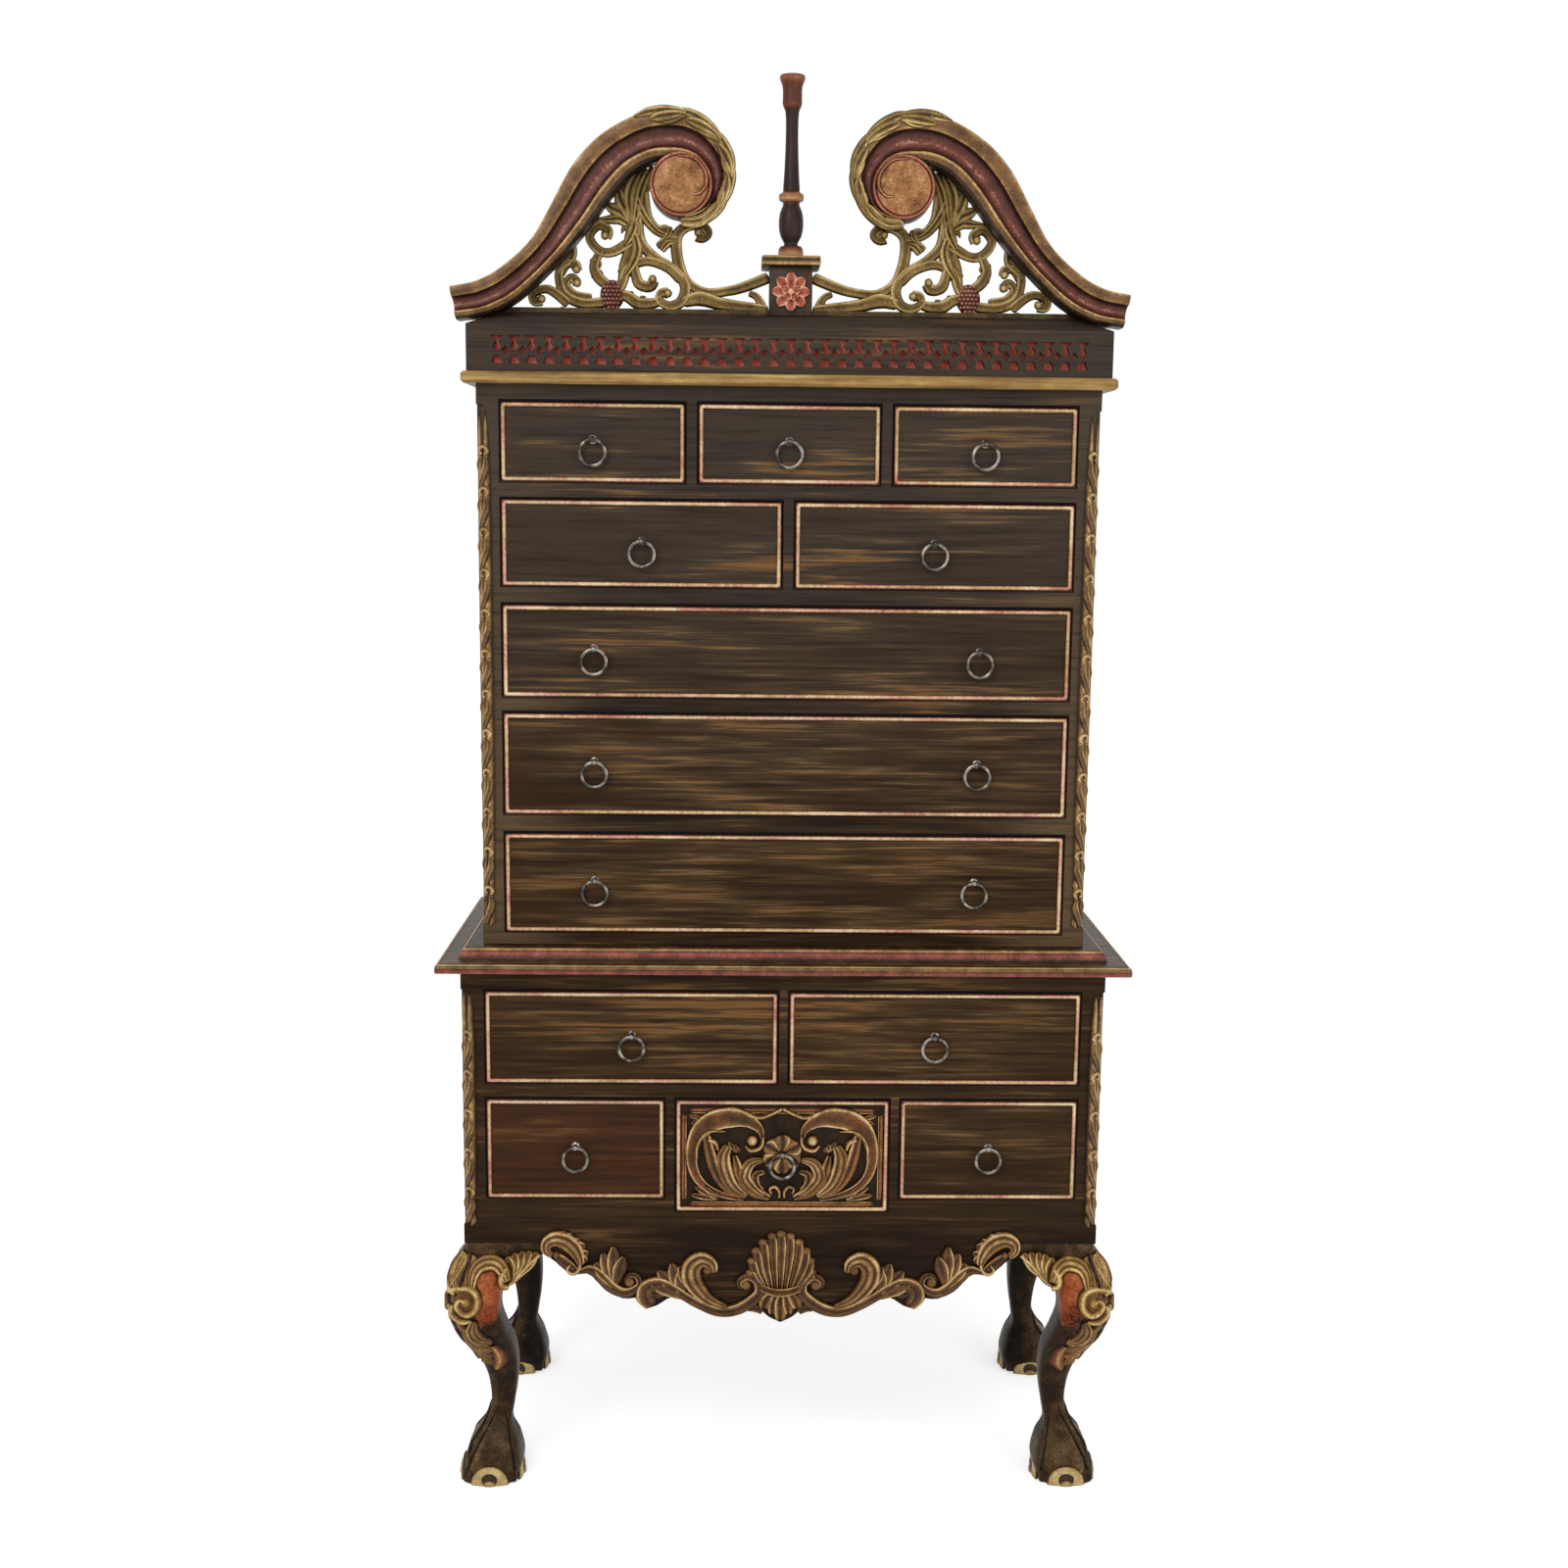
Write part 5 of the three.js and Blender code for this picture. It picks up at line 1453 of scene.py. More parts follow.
@dataclass
class Corners(Assembly):
    """The carved gold strips on the stopped chamfers at the front corners of both chests."""

    chamfer: float = 12 * MM
    stop: float = 30 * MM
    pitch: float = 62 * MM
    half: float = 14.0
    shift: float = 4.5
    leaf_out: float = 1.3 * MM

    def build(self) -> None:
        """Carves the four strips."""
        for node, label in (("upper_frame", "upper"), ("lower_frame", "lower")):
            low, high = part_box(node)
            foot = low.z if label == "upper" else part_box("lower_case")[0].z
            for side, name in SIDES:
                self.strip(side, high.x, low.y, (foot, high.z), f"{label}_{name}")

    def strip(self, side: int, edge: float, front: float, ends: Point, name: str) -> None:
        """Carves a gilded band and a chain of leaves up one corner.

        Args:
            side: -1 for the left corner, 1 for the right one.
            edge: How far the chest's side lies from its middle.
            front: The y of the chest's face.
            ends: The heights of the chest's foot and head.
            name: The strip's name.
        """
        out = Vector((side, -1, 0)).normalized()
        across = Vector((1, side, 0)).normalized()
        middle = Vector((side * (edge - self.chamfer / 2), front + self.chamfer / 2, 0))
        slope = self.chamfer / math.sqrt(2)

        def face(x: float, z: float) -> tuple[Vector, Vector]:
            """Gives a place on the chamfer, or round its edge on the chest's front."""
            over = max(0.0, -side * x - slope)
            place = middle + across * (x + side * over) + UP * z
            place.x -= side * over
            return place, (out + FRONT * min(1.0, over / (3 * MM))).normalized()

        def bed(x: float, z: float) -> tuple[Vector, Vector]:
            """Gives the place above it that the leaves lie on."""
            place, way = face(x, z)
            return place + way * self.leaf_out, way

        shape = Shape()
        low, high = ends[0] + self.stop, ends[1] - self.stop
        over = -side * self.shift
        for share in (-0.44, 0.44):
            x = share * self.half + over
            shape.carve(Ground(face), replace(CORNER_BAND, course=((x, low / MM), (x, high / MM))))
        count = round((high - low) / self.pitch)
        for i in range(count - 1):
            unit = Ground(bed, (over * MM, low + i * (high - low) / count), side > 0)
            shape.carve(unit, *CORNER_STROKES)
        shape.finish(f"corner_leaves_{name}", [self.paints.corner], Slot.CARVING, smooth=1)


# One half of the apron's carving, in millimetres outwards from the middle and above the foot of the lower chest.
APRON_STROKES = (
    *fan((352, 4), ((366, 14), (354, 21)), 20, 7, LEAF),
    *fan((340, 0), ((341, 22), (328, 17)), 20, 7, LEAF),
    *fan((328, -8), ((316, 9), (307, -2)), 20, 7, LEAF),
    *fan((321, -20), ((302, -14), (304, -28)), 18, 7, LEAF),
    *fan((262, -70), ((292, -30), (280, -14), (263, -3), (247, -20)), 26, 8, LEAF),
    *fan((155, -88), ((206, -60), (193, -43), (172, -31), (158, -42)), 27, 8, LEAF),
    Stroke(
        ((359, -19), (368, -11), (367, 1), (354, 8), (338, 4), (326, -6), (318, -20), (314, -34)),
        (10, 16, 22, 28, 31, 29, 22, 12), 9, RIBS, 0.1,
    ),
    Stroke(((315, -30), (318, -43), (328, -49), (336, -42), (330, -34)), (9, 10, 9, 7, 6), 8, ROUND),
    Stroke(
        (
            (318, -46), (299, -42), (283, -54), (268, -70), (250, -80), (234, -77), (222, -66), (226, -53),
            (238, -50), (245, -59),
        ),
        (9, 18, 22, 22, 19, 16, 12, 10, 8, 6), 9, LEAF, 0.12,
    ),
    Stroke(
        (
            (203, -101), (213, -88), (211, -73), (193, -65), (173, -72), (149, -87), (125, -101), (98, -111),
            (72, -109), (48, -96), (33, -79), (37, -60), (53, -52), (66, -61), (62, -72),
        ),
        (22, 31, 30, 24, 20, 18, 18, 20, 21, 22, 20, 15, 12, 11, 7), 10, LEAF, 0.12,
    ),
    Stroke(
        ((84, -103), (110, -93), (128, -77), (140, -57), (140, -37), (126, -25), (110, -31), (105, -45)),
        (9, 18, 27, 34, 34, 30, 22, 12), 12, RIBS,
    ),
    Stroke(((122, -84), (140, -70), (154, -52), (159, -36)), (8, 18, 18, 8), 8, LEAF),
    Stroke(((356, -16), (345, -27), (333, -37), (322, -46)), (10, 19, 20, 14), 6, LEAF, 0.3, 0.15),
    Stroke(((207, -80), (192, -82), (180, -79)), (20, 20, 9), 6, LEAF, 0.3, 0.1),
    Stroke(((28, -112), (40, -106), (52, -108)), (12, 16, 8), 6, LEAF, 0.3, 0.1),
)
# Where its knobs sit, in the same millimetres, and their radius.
APRON_EYES = ((353, -17, 6), (327, -39, 4), (238, -62, 9), (205, -92, 6), (55, -67, 9), (116, -43, 8))
# The shell: the height of its ribs' roots, the band over them, the tips that they spread to on both sides, and
# the tip and the width of each leaf that hangs under the band.
SHELL_ROOT = -74
SHELL_BAND = Stroke(((-32, -69), (-15, -76), (0, -78), (15, -76), (32, -69)), (10, 12, 13, 12, 10), 13, HOLLOW)
SHELL_TIPS = ((48, -47), (46, -28), (39, -11), (28, 3), (14, 13), (0, 17))
SHELL_LEAVES = (((-27, -105), 21), ((27, -105), 21), ((-13, -115), 18), ((13, -115), 18), ((0, -125), 22))


@dataclass
class Apron(Assembly):
    """The scrolls, leaves and shell along the lower edge of the stand."""

    face: float = field(init=False)
    foot: float = field(init=False)

    def __post_init__(self) -> None:
        """Takes the apron's face and foot from the solids."""
        self.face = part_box("lower_frame")[0].y
        self.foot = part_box("lower_case")[0].z

    def build(self) -> None:
        """Carves both halves and the shell."""
        for side, name in SIDES:
            shape = Shape()
            ground = Ground(flat_face(self.face), (0.0, self.foot), side < 0)
            shape.carve(ground, *APRON_STROKES)
            for x, z, radius in APRON_EYES:
                middle = Vector((side * x * MM, self.face - 4 * MM, self.foot + z * MM))
                shape.dome(middle, Vector((radius, 6, radius)) * MM, (0.62, 0.1))
            shape.finish(f"apron_scrolls_{name}", [self.paints.carving], Slot.CARVING, smooth=1)
        self.shell()

    def shell(self) -> None:
        """Carves the shell with its band and its hanging leaves."""
        shape = Shape()
        ground = Ground(flat_face(self.face), (0.0, self.foot))
        shape.dome(Vector((0, self.face, self.foot - 30 * MM)), Vector((44, 3, 46)) * MM, (0.2, 0.0), steps=24)
        for x, z in SHELL_TIPS:
            for side in (-1, 1) if x else (1,):
                tip, root = (side * x, z), (side * 0.5 * x, SHELL_ROOT)
                middle = (side * 0.86 * x, 0.5 * (z + SHELL_ROOT) + 2)
                shape.carve(ground, Stroke((root, middle, tip), (6, 11, 15, 18, 16), 9, LEAF))
                knob = Vector((tip[0] * MM, self.face - 2 * MM, self.foot + tip[1] * MM))
                shape.dome(knob, Vector((9, 6, 7)) * MM, (0.7, 0.0))
        shape.carve(ground, SHELL_BAND)
        for tip, wide in SHELL_LEAVES:
            course = ((0.5 * tip[0], -80), (0.85 * tip[0], 0.5 * (tip[1] - 80)), tip)
            shape.carve(ground, Stroke(course, (8, wide, 1.1 * wide, 0.7 * wide), 9, BLADE))
        shape.finish("apron_shell", [self.paints.carving], Slot.CARVING, smooth=1)


# The carved middle drawer, in millimetres right of its middle and above its foot; each stroke is mirrored.
DRAWER_STROKES = (
    *fan((100, 20), ((142, 28), (136, 41), (122, 42)), 12, 7, BLADE),
    *fan((70, 96), ((84, 114), (74, 110), (66, 104)), 9, 6, BLADE),
    *fan((120, 150), ((146, 156), (143, 143)), 9, 4, BLADE),
    Stroke(
        (
            (30, 118), (36, 136), (56, 150), (80, 153), (104, 149), (124, 137), (136, 119), (141, 94), (139, 72),
            (130, 52), (112, 36), (86, 26), (58, 21),
        ),
        (4, 13, 25, 33, 35, 31, 23, 18, 16, 14, 12, 9, 6), 8, HOLLOW, 0.42,
    ),
    Stroke(((88, 131), (110, 132), (125, 122), (133, 105), (133, 84)), (3, 8, 9, 8, 4), 10, ROUND),
    Stroke(
        ((104, 164), (80, 168), (64, 164), (50, 156), (33, 153), (17, 159), (0, 168)),
        (4, 6, 7, 8, 8, 7, 7), 8, ROUND,
    ),
    Stroke(((119, 126), (113, 97), (104, 66), (88, 41), (62, 24)), (14, 20, 20, 17, 8), 8, BLADE, 0.4),
    Stroke(((116, 118), (104, 112), (100, 100)), (9, 10, 5), 9, ROUND, 0.4),
    Stroke(((84, 108), (92, 90), (89, 65), (77, 41), (55, 25)), (14, 25, 27, 22, 9), 9, RIBS),
    Stroke(((74, 92), (70, 74), (66, 58), (54, 42)), (8, 17, 17, 9), 8, BLADE, 0.35),
    Stroke(((67, 62), (60, 46), (41, 32), (18, 22)), (13, 23, 22, 10), 7, BLADE),
    Stroke(((30, 86), (50, 79), (59, 58), (48, 40), (28, 25)), (8, 19, 23, 21, 9), 9, RIBS),
    Stroke(((27, 66), (41, 61), (41, 46), (30, 34)), (6, 15, 16, 8), 8, BLADE),
    Stroke(((4, 22), (4, 33), (11, 41), (19, 37), (16, 29)), (5, 7, 7, 6, 5), 7, ROUND),
)
DRAWER_CURL = Stroke(((30, 122), (31, 110), (38, 102), (50, 100), (58, 108)), (6, 8, 9, 8, 4), 8, ROUND, 0.4)


@dataclass
class CarvedDrawer(Assembly):
    """The relief on the middle drawer of the stand: leafy scrolls round a flower behind the ring."""

    drawer: str = "lower_2_centre"
    thick: float = 20 * MM
    frame_half: float = 150.0
    frame_low: float = 15.0
    frame_high: float = 160.0
    knob: Point = (47.0, 116.0)
    flower_high: float = 94.0

    def build(self) -> None:
        """Carves the relief and its inner frame."""
        low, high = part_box(f"drawer_front_{self.drawer}")
        face = high.y - self.thick
        start = ((low.x + high.x) / 2, low.z)
        shape = Shape()
        ground = Ground(flat_face(face), start)
        half, foot, head = self.frame_half, self.frame_low, self.frame_high
        corners = ((-half, foot), (half, foot), (half, head), (-half, head))
        for a, b in zip(corners, corners[1:] + corners[:1]):
            out = (0.0, math.copysign(4, a[1] - 0.5 * head)) if a[1] == b[1] else (math.copysign(4, a[0]), 0.0)
            band = tuple((p[0] + out[0], p[1] + out[1]) for p in (a, b))
            shape.carve(ground, Stroke(band, (8, 8), 2.2, ROUND, 1.0, 0.25))
            shape.carve(ground, Stroke((a, b), (2.6, 2.6), 4.5, ROUND))
        for side in (1, -1):
            half_ground = replace(ground, mirror=side < 0)
            shape.carve(half_ground, *DRAWER_STROKES)
            ball = Vector((start[0] + side * self.knob[0] * MM, face - 4 * MM, low.z + self.knob[1] * MM))
            shape.dome(ball, Vector((9, 6, 9)) * MM)
            shape.carve(half_ground, DRAWER_CURL)
        self.flower(shape, replace(ground, start=(start[0], low.z + self.flower_high * MM)), face)
        shape.finish("drawer_carving", [self.paints.carving], Slot.CARVING, body=f"drawer_{self.drawer}", smooth=1)

    def flower(self, shape: Shape, ground: Ground, face: float) -> None:
        """Carves the flower's petals round its eye.

        Args:
            shape: The mesh that takes it.
            ground: The drawer's face, counted from the flower's middle.
            face: The y of the face.
        """
        shape.petals(6, (5 / 31, 0.6, 1), 31, Stroke((), (6, 18, 29, 31, 15), 8, BLADE), ground)
        x, z = ground.start
        shape.dome(Vector((x, face - 2 * MM, z)), Vector((8, 4, 8)) * MM, (0.2, 0.0))


# The cabriole curve: the height as a share of the leg's, and the outer and inner edges as shares of the knee.
LEG_SHARES = (
    (1, 0, 0.72), (0.94, 0.03, 0.73), (0.9, 0.14, 0.74), (0.85, 0.24, 0.73), (0.79, 0.295, 0.7),
    (0.72, 0.28, 0.675), (0.635, 0.14, 0.77), (0.54, -0.11, 0.91), (0.44, -0.31, 0.95), (0.355, -0.395, 0.92),
    (0.275, -0.4, 0.86), (0.215, -0.27, 0.83), (0.15, -0.03, 0.97), (0.06, 0.1, 1.05), (0, 0.11, 0.94),
)
# The knee's carving on one face, in millimetres inwards from the corner and below the chest.
KNEE_STROKES = (
    Stroke(((-1, -16), (-13, -34), (-19, -54), (-21, -75)), (8, 15, 17, 13), 5, ROUND, 0.3, 0.1),
    Stroke(((6, -18), (-4, -36), (-9, -54), (-8, -72)), (9, 16, 17, 11), 6, RIBS),
    Stroke(((17, -20), (8, -36), (4, -54), (6, -70)), (10, 17, 16, 9), 6, RIBS),
    Stroke(((13, -66), (17, -43), (31, -32), (48, -31), (62, -41), (69, -57)), (12, 21, 26, 26, 22, 12), 8, RIBS),
    Stroke(((68, -38), (60, -50), (61, -62), (72, -64)), (10, 14, 13, 9), 8, ROUND),
    Stroke(
        (
            (-21, -76), (-8, -67), (8, -66), (20, -74), (23, -89), (17, -102), (6, -107), (-4, -102), (-9, -92),
            (-4, -83), (4, -86),
        ),
        (10, 14, 15, 15, 15, 15, 14, 13, 12, 10, 7), 9, ROUND,
    ),
    Stroke(((-21, -93), (-16, -109), (-3, -120), (13, -118)), (10, 16, 15, 8), 6, ROUND),
    Stroke(((-11, -112), (-4, -130), (7, -140), (18, -134), (15, -124)), (8, 15, 16, 11, 7), 5, ROUND, 0.5, 0.3),
    Stroke(((17, -118), (13, -136), (19, -151), (32, -158), (42, -156)), (11, 23, 25, 20, 9), 7, RIBS, 0.0, 0.14),
    Stroke(((0, -138), (10, -156), (24, -170), (44, -178)), (10, 21, 22, 8), 6, RIBS, 0.0, 0.16),
    Stroke(((6, -152), (14, -170), (26, -184), (42, -192)), (9, 19, 20, 8), 5, RIBS, 0.2, 0.16),
    Stroke(((16, -174), (24, -188), (33, -200), (42, -208)), (9, 16, 16, 7), 5, RIBS, 0.5, 0.12),
    Stroke(((42, -170), (50, -186), (51, -204), (44, -220)), (10, 22, 25, 11), 5, ROUND, 0.8, 0.15),
)
# The shell on a bracket beside the knee, likewise.
EAR_STROKES = (
    *fan((73, -62), ((68, -20), (80, -14), (92, -11), (104, -11), (115, -13)), 23, 8, LEAF),
    Stroke(((62, -70), (76, -62), (88, -48), (102, -32), (119, -17)), (7, 10, 10, 9, 6), 9, ROUND),
)
# The ridges on one face of a foot, in millimetres inwards from the corner and above the floor.
FOOT_STROKES = (
    Stroke(((44, 112), (31, 88), (15, 62), (4, 40), (0, 24)), (3, 6, 8, 9, 8), 3.4, ROUND, 0, 0.3),
    Stroke(((58, 112), (63, 88), (70, 62), (75, 40), (77, 24)), (3, 6, 8, 9, 8), 3.4, ROUND, 0, 0.3),
)
# The notches in a pad: half width, depth, height of the middle and half height in millimetres, and the tone, dark on
# the outer one as painted shade of the groove and bright on the inner one.
PAD_NOTCHES = ((14, 3, 9, 12, 0.22), (10.5, 4.6, 2, 9, 0.85))
# The knee's painted field, in millimetres inwards from the corner and below the chest, and between which heights
# its red ends, its tone darkens and the bare wood turns lighter.
FIELD_WIDE = 62
FIELD_TOP = 34
FIELD_FOOT = 190
RED_FADE = (172, 87)
FIELD_DARKENING = (75, 135)
WOOD_FADE = (270, 330)


@dataclass
class Legs(Assembly):
    """The cabriole legs with carved knees, shell brackets and block feet with gilded pads."""

    knee: float = 81 * MM
    tall: float = 402 * MM
    steps: int = 32
    levels: int = 72
    squareness: float = 0.5
    ear_span: float = 121 * MM
    ear_face: float = 0.6 * MM
    ear_thick: float = 36 * MM
    ear_high: float = 72 * MM
    ear_steps: int = 12
    fillet: float = 17 * MM
    half_wide: float = 497 * MM
    pad: Triple = (30 * MM, 6 * MM, 29 * MM)
    toe: float = 25 * MM
    lift: float = 0.3 * MM
    front: float = field(init=False)
    back: float = field(init=False)

    def __post_init__(self) -> None:
        """Takes the stand's face and back from the solids."""
        self.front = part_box("lower_frame")[0].y
        self.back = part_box("lower_case")[1].y

    def edges(self, height: float) -> tuple[float, float]:
        """Gives the outer and the inner edge of the leg at a height, inwards from the corner."""
        heights = [share * self.tall for share, *_ in LEG_SHARES]
        for i in range(len(heights) - 1):
            if heights[i + 1] <= height <= heights[i]:
                share = (i + (heights[i] - height) / (heights[i] - heights[i + 1])) / (len(heights) - 1)
                outer = along([-out for _, out, _ in LEG_SHARES], share)
                inner = along([into for *_, into in LEG_SHARES], share)
                return outer * self.knee, inner * self.knee
        return -LEG_SHARES[-1][1] * self.knee, LEG_SHARES[-1][2] * self.knee

    def skin(self, x: float, z: float) -> tuple[Vector, Vector]:
        """Gives the front face of a leg drawn from its corner.

        Args:
            x: How far inwards from the corner.
            z: The height above the floor.

        Returns:
            The place on the skin, and the way out of the wood.
        """

        def deep(at_x: float, at_z: float) -> float:
            """Gives how far behind the corner's front the skin lies."""
            outer, inner = self.edges(min(self.tall, max(0.0, at_z)))
            reach, middle = (inner - outer) / 2, (inner + outer) / 2
            across = min(0.96, abs(at_x - middle) / reach)
            if at_x > middle and at_z > self.tall - self.ear_high and at_x > 0.45 * self.knee:
                across = min(across, 0.5)
            return middle - reach * (1 - across ** (2 / self.squareness)) ** (self.squareness / 2)

        small = 2 * MM
        slope_x = (deep(x + small, z) - deep(x - small, z)) / (2 * small)
        slope_z = (deep(x, z + small) - deep(x, z - small)) / (2 * small)
        slope_x = max(-1.4, min(1.4, slope_x))
        return Vector((x, deep(x, z), z)), Vector((slope_x, -1, slope_z)).normalized()

    def build(self) -> None:
        """Builds the four legs."""
        for row, turn, y, carved in (("front", 1, self.front, (False, True)), ("rear", -1, self.back, (True,))):
            for side, label in SIDES:
                name = f"{row}_{label}"
                place = level(-side, turn, (side * self.half_wide, y, 0))
                self.limb(name, place)
                self.knee_carving(name, place, carved)
                self.foot(name, place)

    def limb(self, name: str, place: Matrix) -> None:
        """Lofts the leg and its brackets."""
        shape = Shape()
        circle = []
        for i in range(self.steps):
            angle = 2 * math.pi * (i + 0.5) / self.steps
            corner = (math.cos(angle), math.sin(angle))
            circle.append(tuple(math.copysign(abs(v) ** self.squareness, v) for v in corner))
        stations = []
        for i in range(self.levels + 1):
            height = self.tall * (1 - i / self.levels)
            outer, inner = self.edges(height)
            half, middle = (inner - outer) / 2, (inner + outer) / 2
            stations.append(level(half, half, (middle, middle, height)))
        shape.sweep(circle, stations)
        for vert in shape.bm.verts:
            vert[shape.paint] = self.colour_and_shade(vert.co)
        for turned in (False, True):
            self.ear(shape, turned)
        self.put(shape, place)
        shape.finish(f"leg_{name}_limb", [self.paints.limb], Slot.LEG, [f"leg_{name}"])

    def colour_and_shade(self, place: Vector) -> Vector:
        """Gives the paint of a place on a leg: red on the knee, brown below, and dark on the inner faces as painted
        shade.

        Args:
            place: The place, counted from the leg's corner.

        Returns:
            Its tone and its share of red.
        """
        below = (self.tall - place.z) / MM
        outer, inner = self.edges(min(self.tall, max(0.0, place.z)))
        into, beside = max(place.x, place.y), min(place.x, place.y)
        # Painted shade on the inner faces.
        if beside > (outer + inner) / 2:
            return Vector((0.05, 0.0, 0.0))
        if below < self.fillet / MM:
            return Vector((0.5, 0.0, 0.0))
        edge = FIELD_WIDE - 0.1 * max(0.0, below - 50)
        red = between(edge - into / MM, 0, 4) * between(below, *RED_FADE)
        if below < FIELD_TOP or into < 8 * MM:
            red = 0.0
        if into / MM < edge - 36 and FIELD_TOP < below < FIELD_FOOT:
            return Vector((0.85, 0.25, 0.0))
        corner = abs(place.x - place.y) < 0.25 * (inner - outer)
        # The red field's tone is brighter at the top and darker below.
        glow = 0.64 - 0.36 * between(below, *FIELD_DARKENING)
        wood = (0.4 if corner else 0.25) + 0.32 * between(below, *WOOD_FADE)
        return Vector((glow if red > 0.2 else wood, red, 0.0))

    def ear(self, shape: Shape, turned: bool) -> None:
        """Adds a bracket that carries the knee's curve along the underside of the chest.

        Args:
            shape: The mesh that takes it.
            turned: Whether it runs along the side instead of the front.
        """
        start, top, high, end = 0.5 * self.knee, self.tall, self.ear_high, self.ear_span
        outline = [(start, top)]
        a, b, c = (start, top - high), ((start + end) / 2, top - 0.85 * high), (end, top - 0.25 * high)
        for i in range(self.ear_steps + 1):
            share = i / self.ear_steps
            outline.append(tuple(
                (1 - share) ** 2 * a[k] + 2 * share * (1 - share) * b[k] + share**2 * c[k] for k in (0, 1)
            ))
        outline.append((end, top))
        outline.reverse()
        stations = []
        for y in (self.ear_face, self.ear_thick):
            upright = Matrix(((1, 0, 0, 0), (0, 0, 1, y), (0, 1, 0, 0), (0, 0, 0, 1)))
            stations.append(SWAP @ upright if turned else upright)
        shape.sweep(outline, stations, (0.4, 0.0))

    def knee_carving(self, name: str, place: Matrix, turns: Sequence[bool]) -> None:
        """Carves the leaves and the scroll on the outer faces of the knee, and the shells of the brackets.

        Args:
            name: The leg's name.
            place: The matrix that puts a leg at its corner.
            turns: False for the front face, True for the side face.
        """
        shape = Shape()
        bracket = Ground(flat_face(self.ear_face), (0.0, self.tall))
        for turned in turns:
            before = set(shape.bm.verts)
            shape.carve(bracket, *EAR_STROKES)
            shape.carve(replace(bracket, surface=self.skin), *KNEE_STROKES)
            eye, out = self.skin(5 * MM, self.tall - 87 * MM)
            shape.dome(eye + out * MM, Vector((20, 4, 20)) * MM, (0.42, 0.3))
            shape.dome(eye + out * 2 * MM, Vector((9, 7, 9)) * MM, (0.7, 0.2))
            if turned:
                shape.swap(before)
        self.put(shape, place)
        shape.finish(f"knee_carving_{name}", [self.paints.knee], Slot.LEG, smooth=1)

    def foot(self, name: str, place: Matrix) -> None:
        """Adds the gilded pads at the bottom of each face, and the tendons that run down to the toes."""
        outer, inner = self.edges(10 * MM)
        middle = (outer + inner) / 2
        pads, toes = Shape(), Shape()
        faces = ((middle, outer, 0, -1), (outer, middle, -1, 0), (middle, inner, 0, 1), (inner, middle, 1, 0))
        for x, y, out_x, out_y in faces:
            out = Vector((out_x, out_y, 0))
            wide, thick, high = self.pad
            size = Vector((wide if out_y else thick, wide if out_x else thick, high))
            pads.dome(Vector((x, y, 2 * MM)), size, (0.92, 0.0), out, 24)
            for half, deep, height, tall, tone in PAD_NOTCHES:
                notch = Vector((half if out_y else deep, half if out_x else deep, tall)) * MM
                pads.dome(Vector((x, y, height * MM)) + out * 4 * MM, notch, (tone, 0.0), out, 18)
        geometry = [*pads.bm.verts, *pads.bm.edges, *pads.bm.faces]
        cut = bmesh.ops.bisect_plane(
            pads.bm, geom=geometry, plane_co=(0, 0, self.lift), plane_no=(0, 0, -1), clear_outer=True
        )["geom_cut"]
        bmesh.ops.edgeloop_fill(pads.bm, edges=[item for item in cut if isinstance(item, BMEdge)])
        for x in (outer + MM, inner - self.toe - MM):
            for y in (outer + MM, inner - self.toe - MM):
                low, high = Vector((x, y, self.lift)), Vector((x + self.toe, y + self.toe, self.toe))
                toes.box(low, high, 6 * MM, (0.35, 0.0))
        for turned in (False, True):
            before = set(toes.bm.verts)
            toes.carve(Ground(self.skin), *FOOT_STROKES)
            if turned:
                toes.swap(before)
        for shape, label, material in ((pads, "pads", self.paints.vine), (toes, "toes", self.paints.limb)):
            self.put(shape, place)
            shape.finish(f"foot_{label}_{name}", [material], Slot.LEG, smooth=1 if label == "toes" else 0)

    def put(self, shape: Shape, place: Matrix) -> None:
        """Puts a leg's mesh at its corner, and trims what would pass the floor or the chest's back."""
        bmesh.ops.transform(shape.bm, matrix=place, verts=shape.bm.verts)
        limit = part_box("leg_rear_left")[1].y
        for vert in shape.bm.verts:
            vert.co.z = max(vert.co.z, self.lift)
            vert.co.y = min(vert.co.y, limit)


def seen(tree: bpy.types.NodeTree) -> Socket:
    """Gives 1 to the rays that show the white round the piece: those of the camera, of gloss and of glass."""
    path = tree.nodes.new("ShaderNodeLightPath")
    socket = path.outputs["Is Camera Ray"]
    for name in ("Is Glossy Ray", "Is Transmission Ray"):
        either = tree.nodes.new("ShaderNodeMath")
        either.operation = "MAXIMUM"
        tree.links.new(socket, either.inputs[0])
        tree.links.new(path.outputs[name], either.inputs[1])
        socket = either.outputs[0]
    return socket


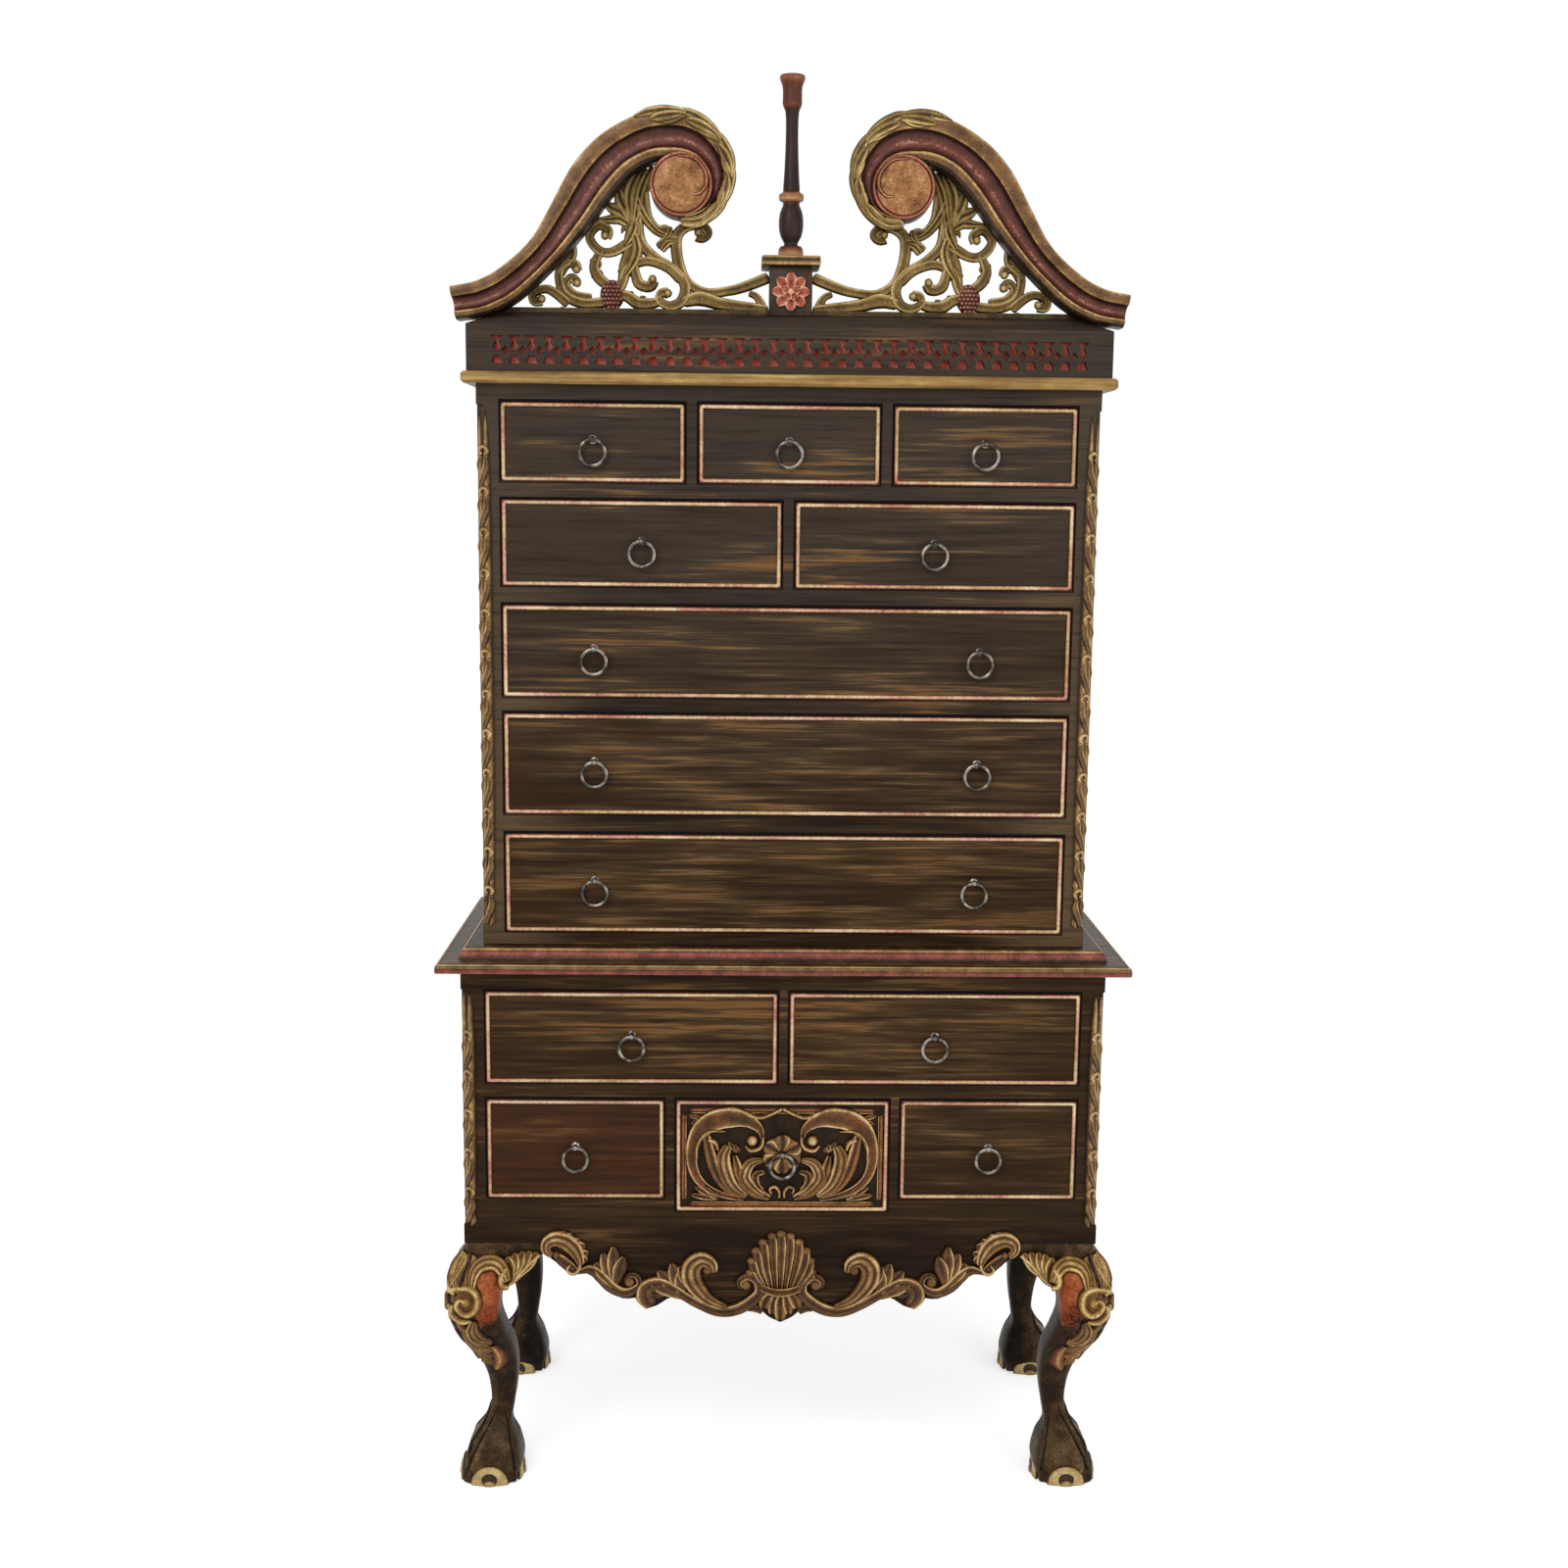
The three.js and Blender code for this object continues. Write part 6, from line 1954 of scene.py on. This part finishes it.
@dataclass
class Studio:
    """The floor, the soft light and the camera of the photograph."""

    camera_place: Triple = (-0.0644, -3.024, 1.5604)
    pitch: float = 0.1511
    yaw: float = 0.0218
    roll: float = 0.0109
    lens: float = 42.92
    floor_glow: float = 0.55
    sky_light: float = 0.55
    sensor: float = 36.0
    lamp_size: float = 2.4

    def build(self) -> None:
        """Sets up everything that isn't the highboy."""
        scene = bpy.context.scene
        scene.view_settings.view_transform = "Standard"
        self.camera(scene)
        self.world(scene)
        self.floor()
        self.lamp("key", Vector((-1.6, -3.2, 3.4)), 1.2 * UP, 60)
        self.lamp("fill", Vector((2.4, -2.6, 1.6)), UP, 30)

    def camera(self, scene: bpy.types.Scene) -> None:
        """Puts the camera where the photograph was taken."""
        forward = Vector((
            math.sin(self.yaw) * math.cos(self.pitch), math.cos(self.yaw) * math.cos(self.pitch),
            -math.sin(self.pitch),
        ))
        beside = Vector((math.cos(self.yaw), -math.sin(self.yaw), 0))
        upright = beside.cross(forward)
        right = math.cos(self.roll) * beside + math.sin(self.roll) * upright
        up = math.cos(self.roll) * upright - math.sin(self.roll) * beside
        data = bpy.data.cameras.new("camera")
        data.lens = self.lens
        data.sensor_width = self.sensor
        camera = bpy.data.objects.new("camera", data)
        matrix = Matrix((right, up, -forward)).transposed().to_4x4()
        matrix.translation = Vector(self.camera_place)
        camera.matrix_world = matrix
        scene.collection.objects.link(camera)
        scene.camera = camera

    def world(self, scene: bpy.types.Scene) -> None:
        """Shows white to the camera and to glossy rays, and lights the piece with a soft grey."""
        world = bpy.data.worlds.new("studio")
        scene.world = world
        world.use_nodes = True
        tree = world.node_tree
        tree.nodes.clear()
        output = tree.nodes.new("ShaderNodeOutputWorld")
        mix = tree.nodes.new("ShaderNodeMixShader")
        tree.links.new(seen(tree), mix.inputs["Fac"])
        for socket, strength in ((1, self.sky_light), (2, 1.0)):
            sky = tree.nodes.new("ShaderNodeBackground")
            sky.inputs["Color"].default_value = WHITE
            sky.inputs["Strength"].default_value = strength
            tree.links.new(sky.outputs[0], mix.inputs[socket])
        tree.links.new(mix.outputs[0], output.inputs["Surface"])

    def floor(self) -> None:
        """Lays a wide pale floor."""
        bm = bmesh.new()
        bmesh.ops.create_grid(bm, x_segments=1, y_segments=1, size=30)
        mesh = bpy.data.meshes.new("floor")
        bm.to_mesh(mesh)
        bm.free()
        nodes = Nodes("floor paint", 0.9, specular=0.0)
        mesh.materials.append(nodes.done((0.93, 0.93, 0.93)))
        glow = nodes.add("Emission", {"Color": WHITE, "Strength": nodes.times(seen(nodes.tree), self.floor_glow)})
        both = nodes.add("AddShader", {0: nodes.shader.outputs[0], 1: glow.outputs[0]})
        nodes.put(nodes.tree.nodes["Material Output"].inputs["Surface"], both.outputs[0])
        floor = bpy.data.objects.new("floor", mesh)
        bpy.context.scene.collection.objects.link(floor)

    def lamp(self, name: str, place: Vector, target: Vector, power: float) -> None:
        """Hangs a square soft light.

        Args:
            name: Its name.
            place: Where it hangs.
            target: Where it points.
            power: Its watts.
        """
        data = bpy.data.lights.new(name, "AREA")
        data.size = self.lamp_size
        data.energy = power
        lamp = bpy.data.objects.new(name, data)
        lamp.location = place
        lamp.rotation_euler = (target - place).to_track_quat("-Z", "Y").to_euler()
        bpy.context.scene.collection.objects.link(lamp)


def main() -> None:
    """Builds the highboy's looks, sub-assembly by sub-assembly."""
    logging.basicConfig(level=logging.INFO, format="%(name)s: %(message)s")
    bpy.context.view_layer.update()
    paints = Paints()
    Studio().build()
    for part in (Boards, Drawers, CarvedDrawer, Waist, Pediment, Corners, Apron, Legs):
        part(paints).build()
        log.info("%s built", part.__name__)


if __name__ == "__main__":
    main()
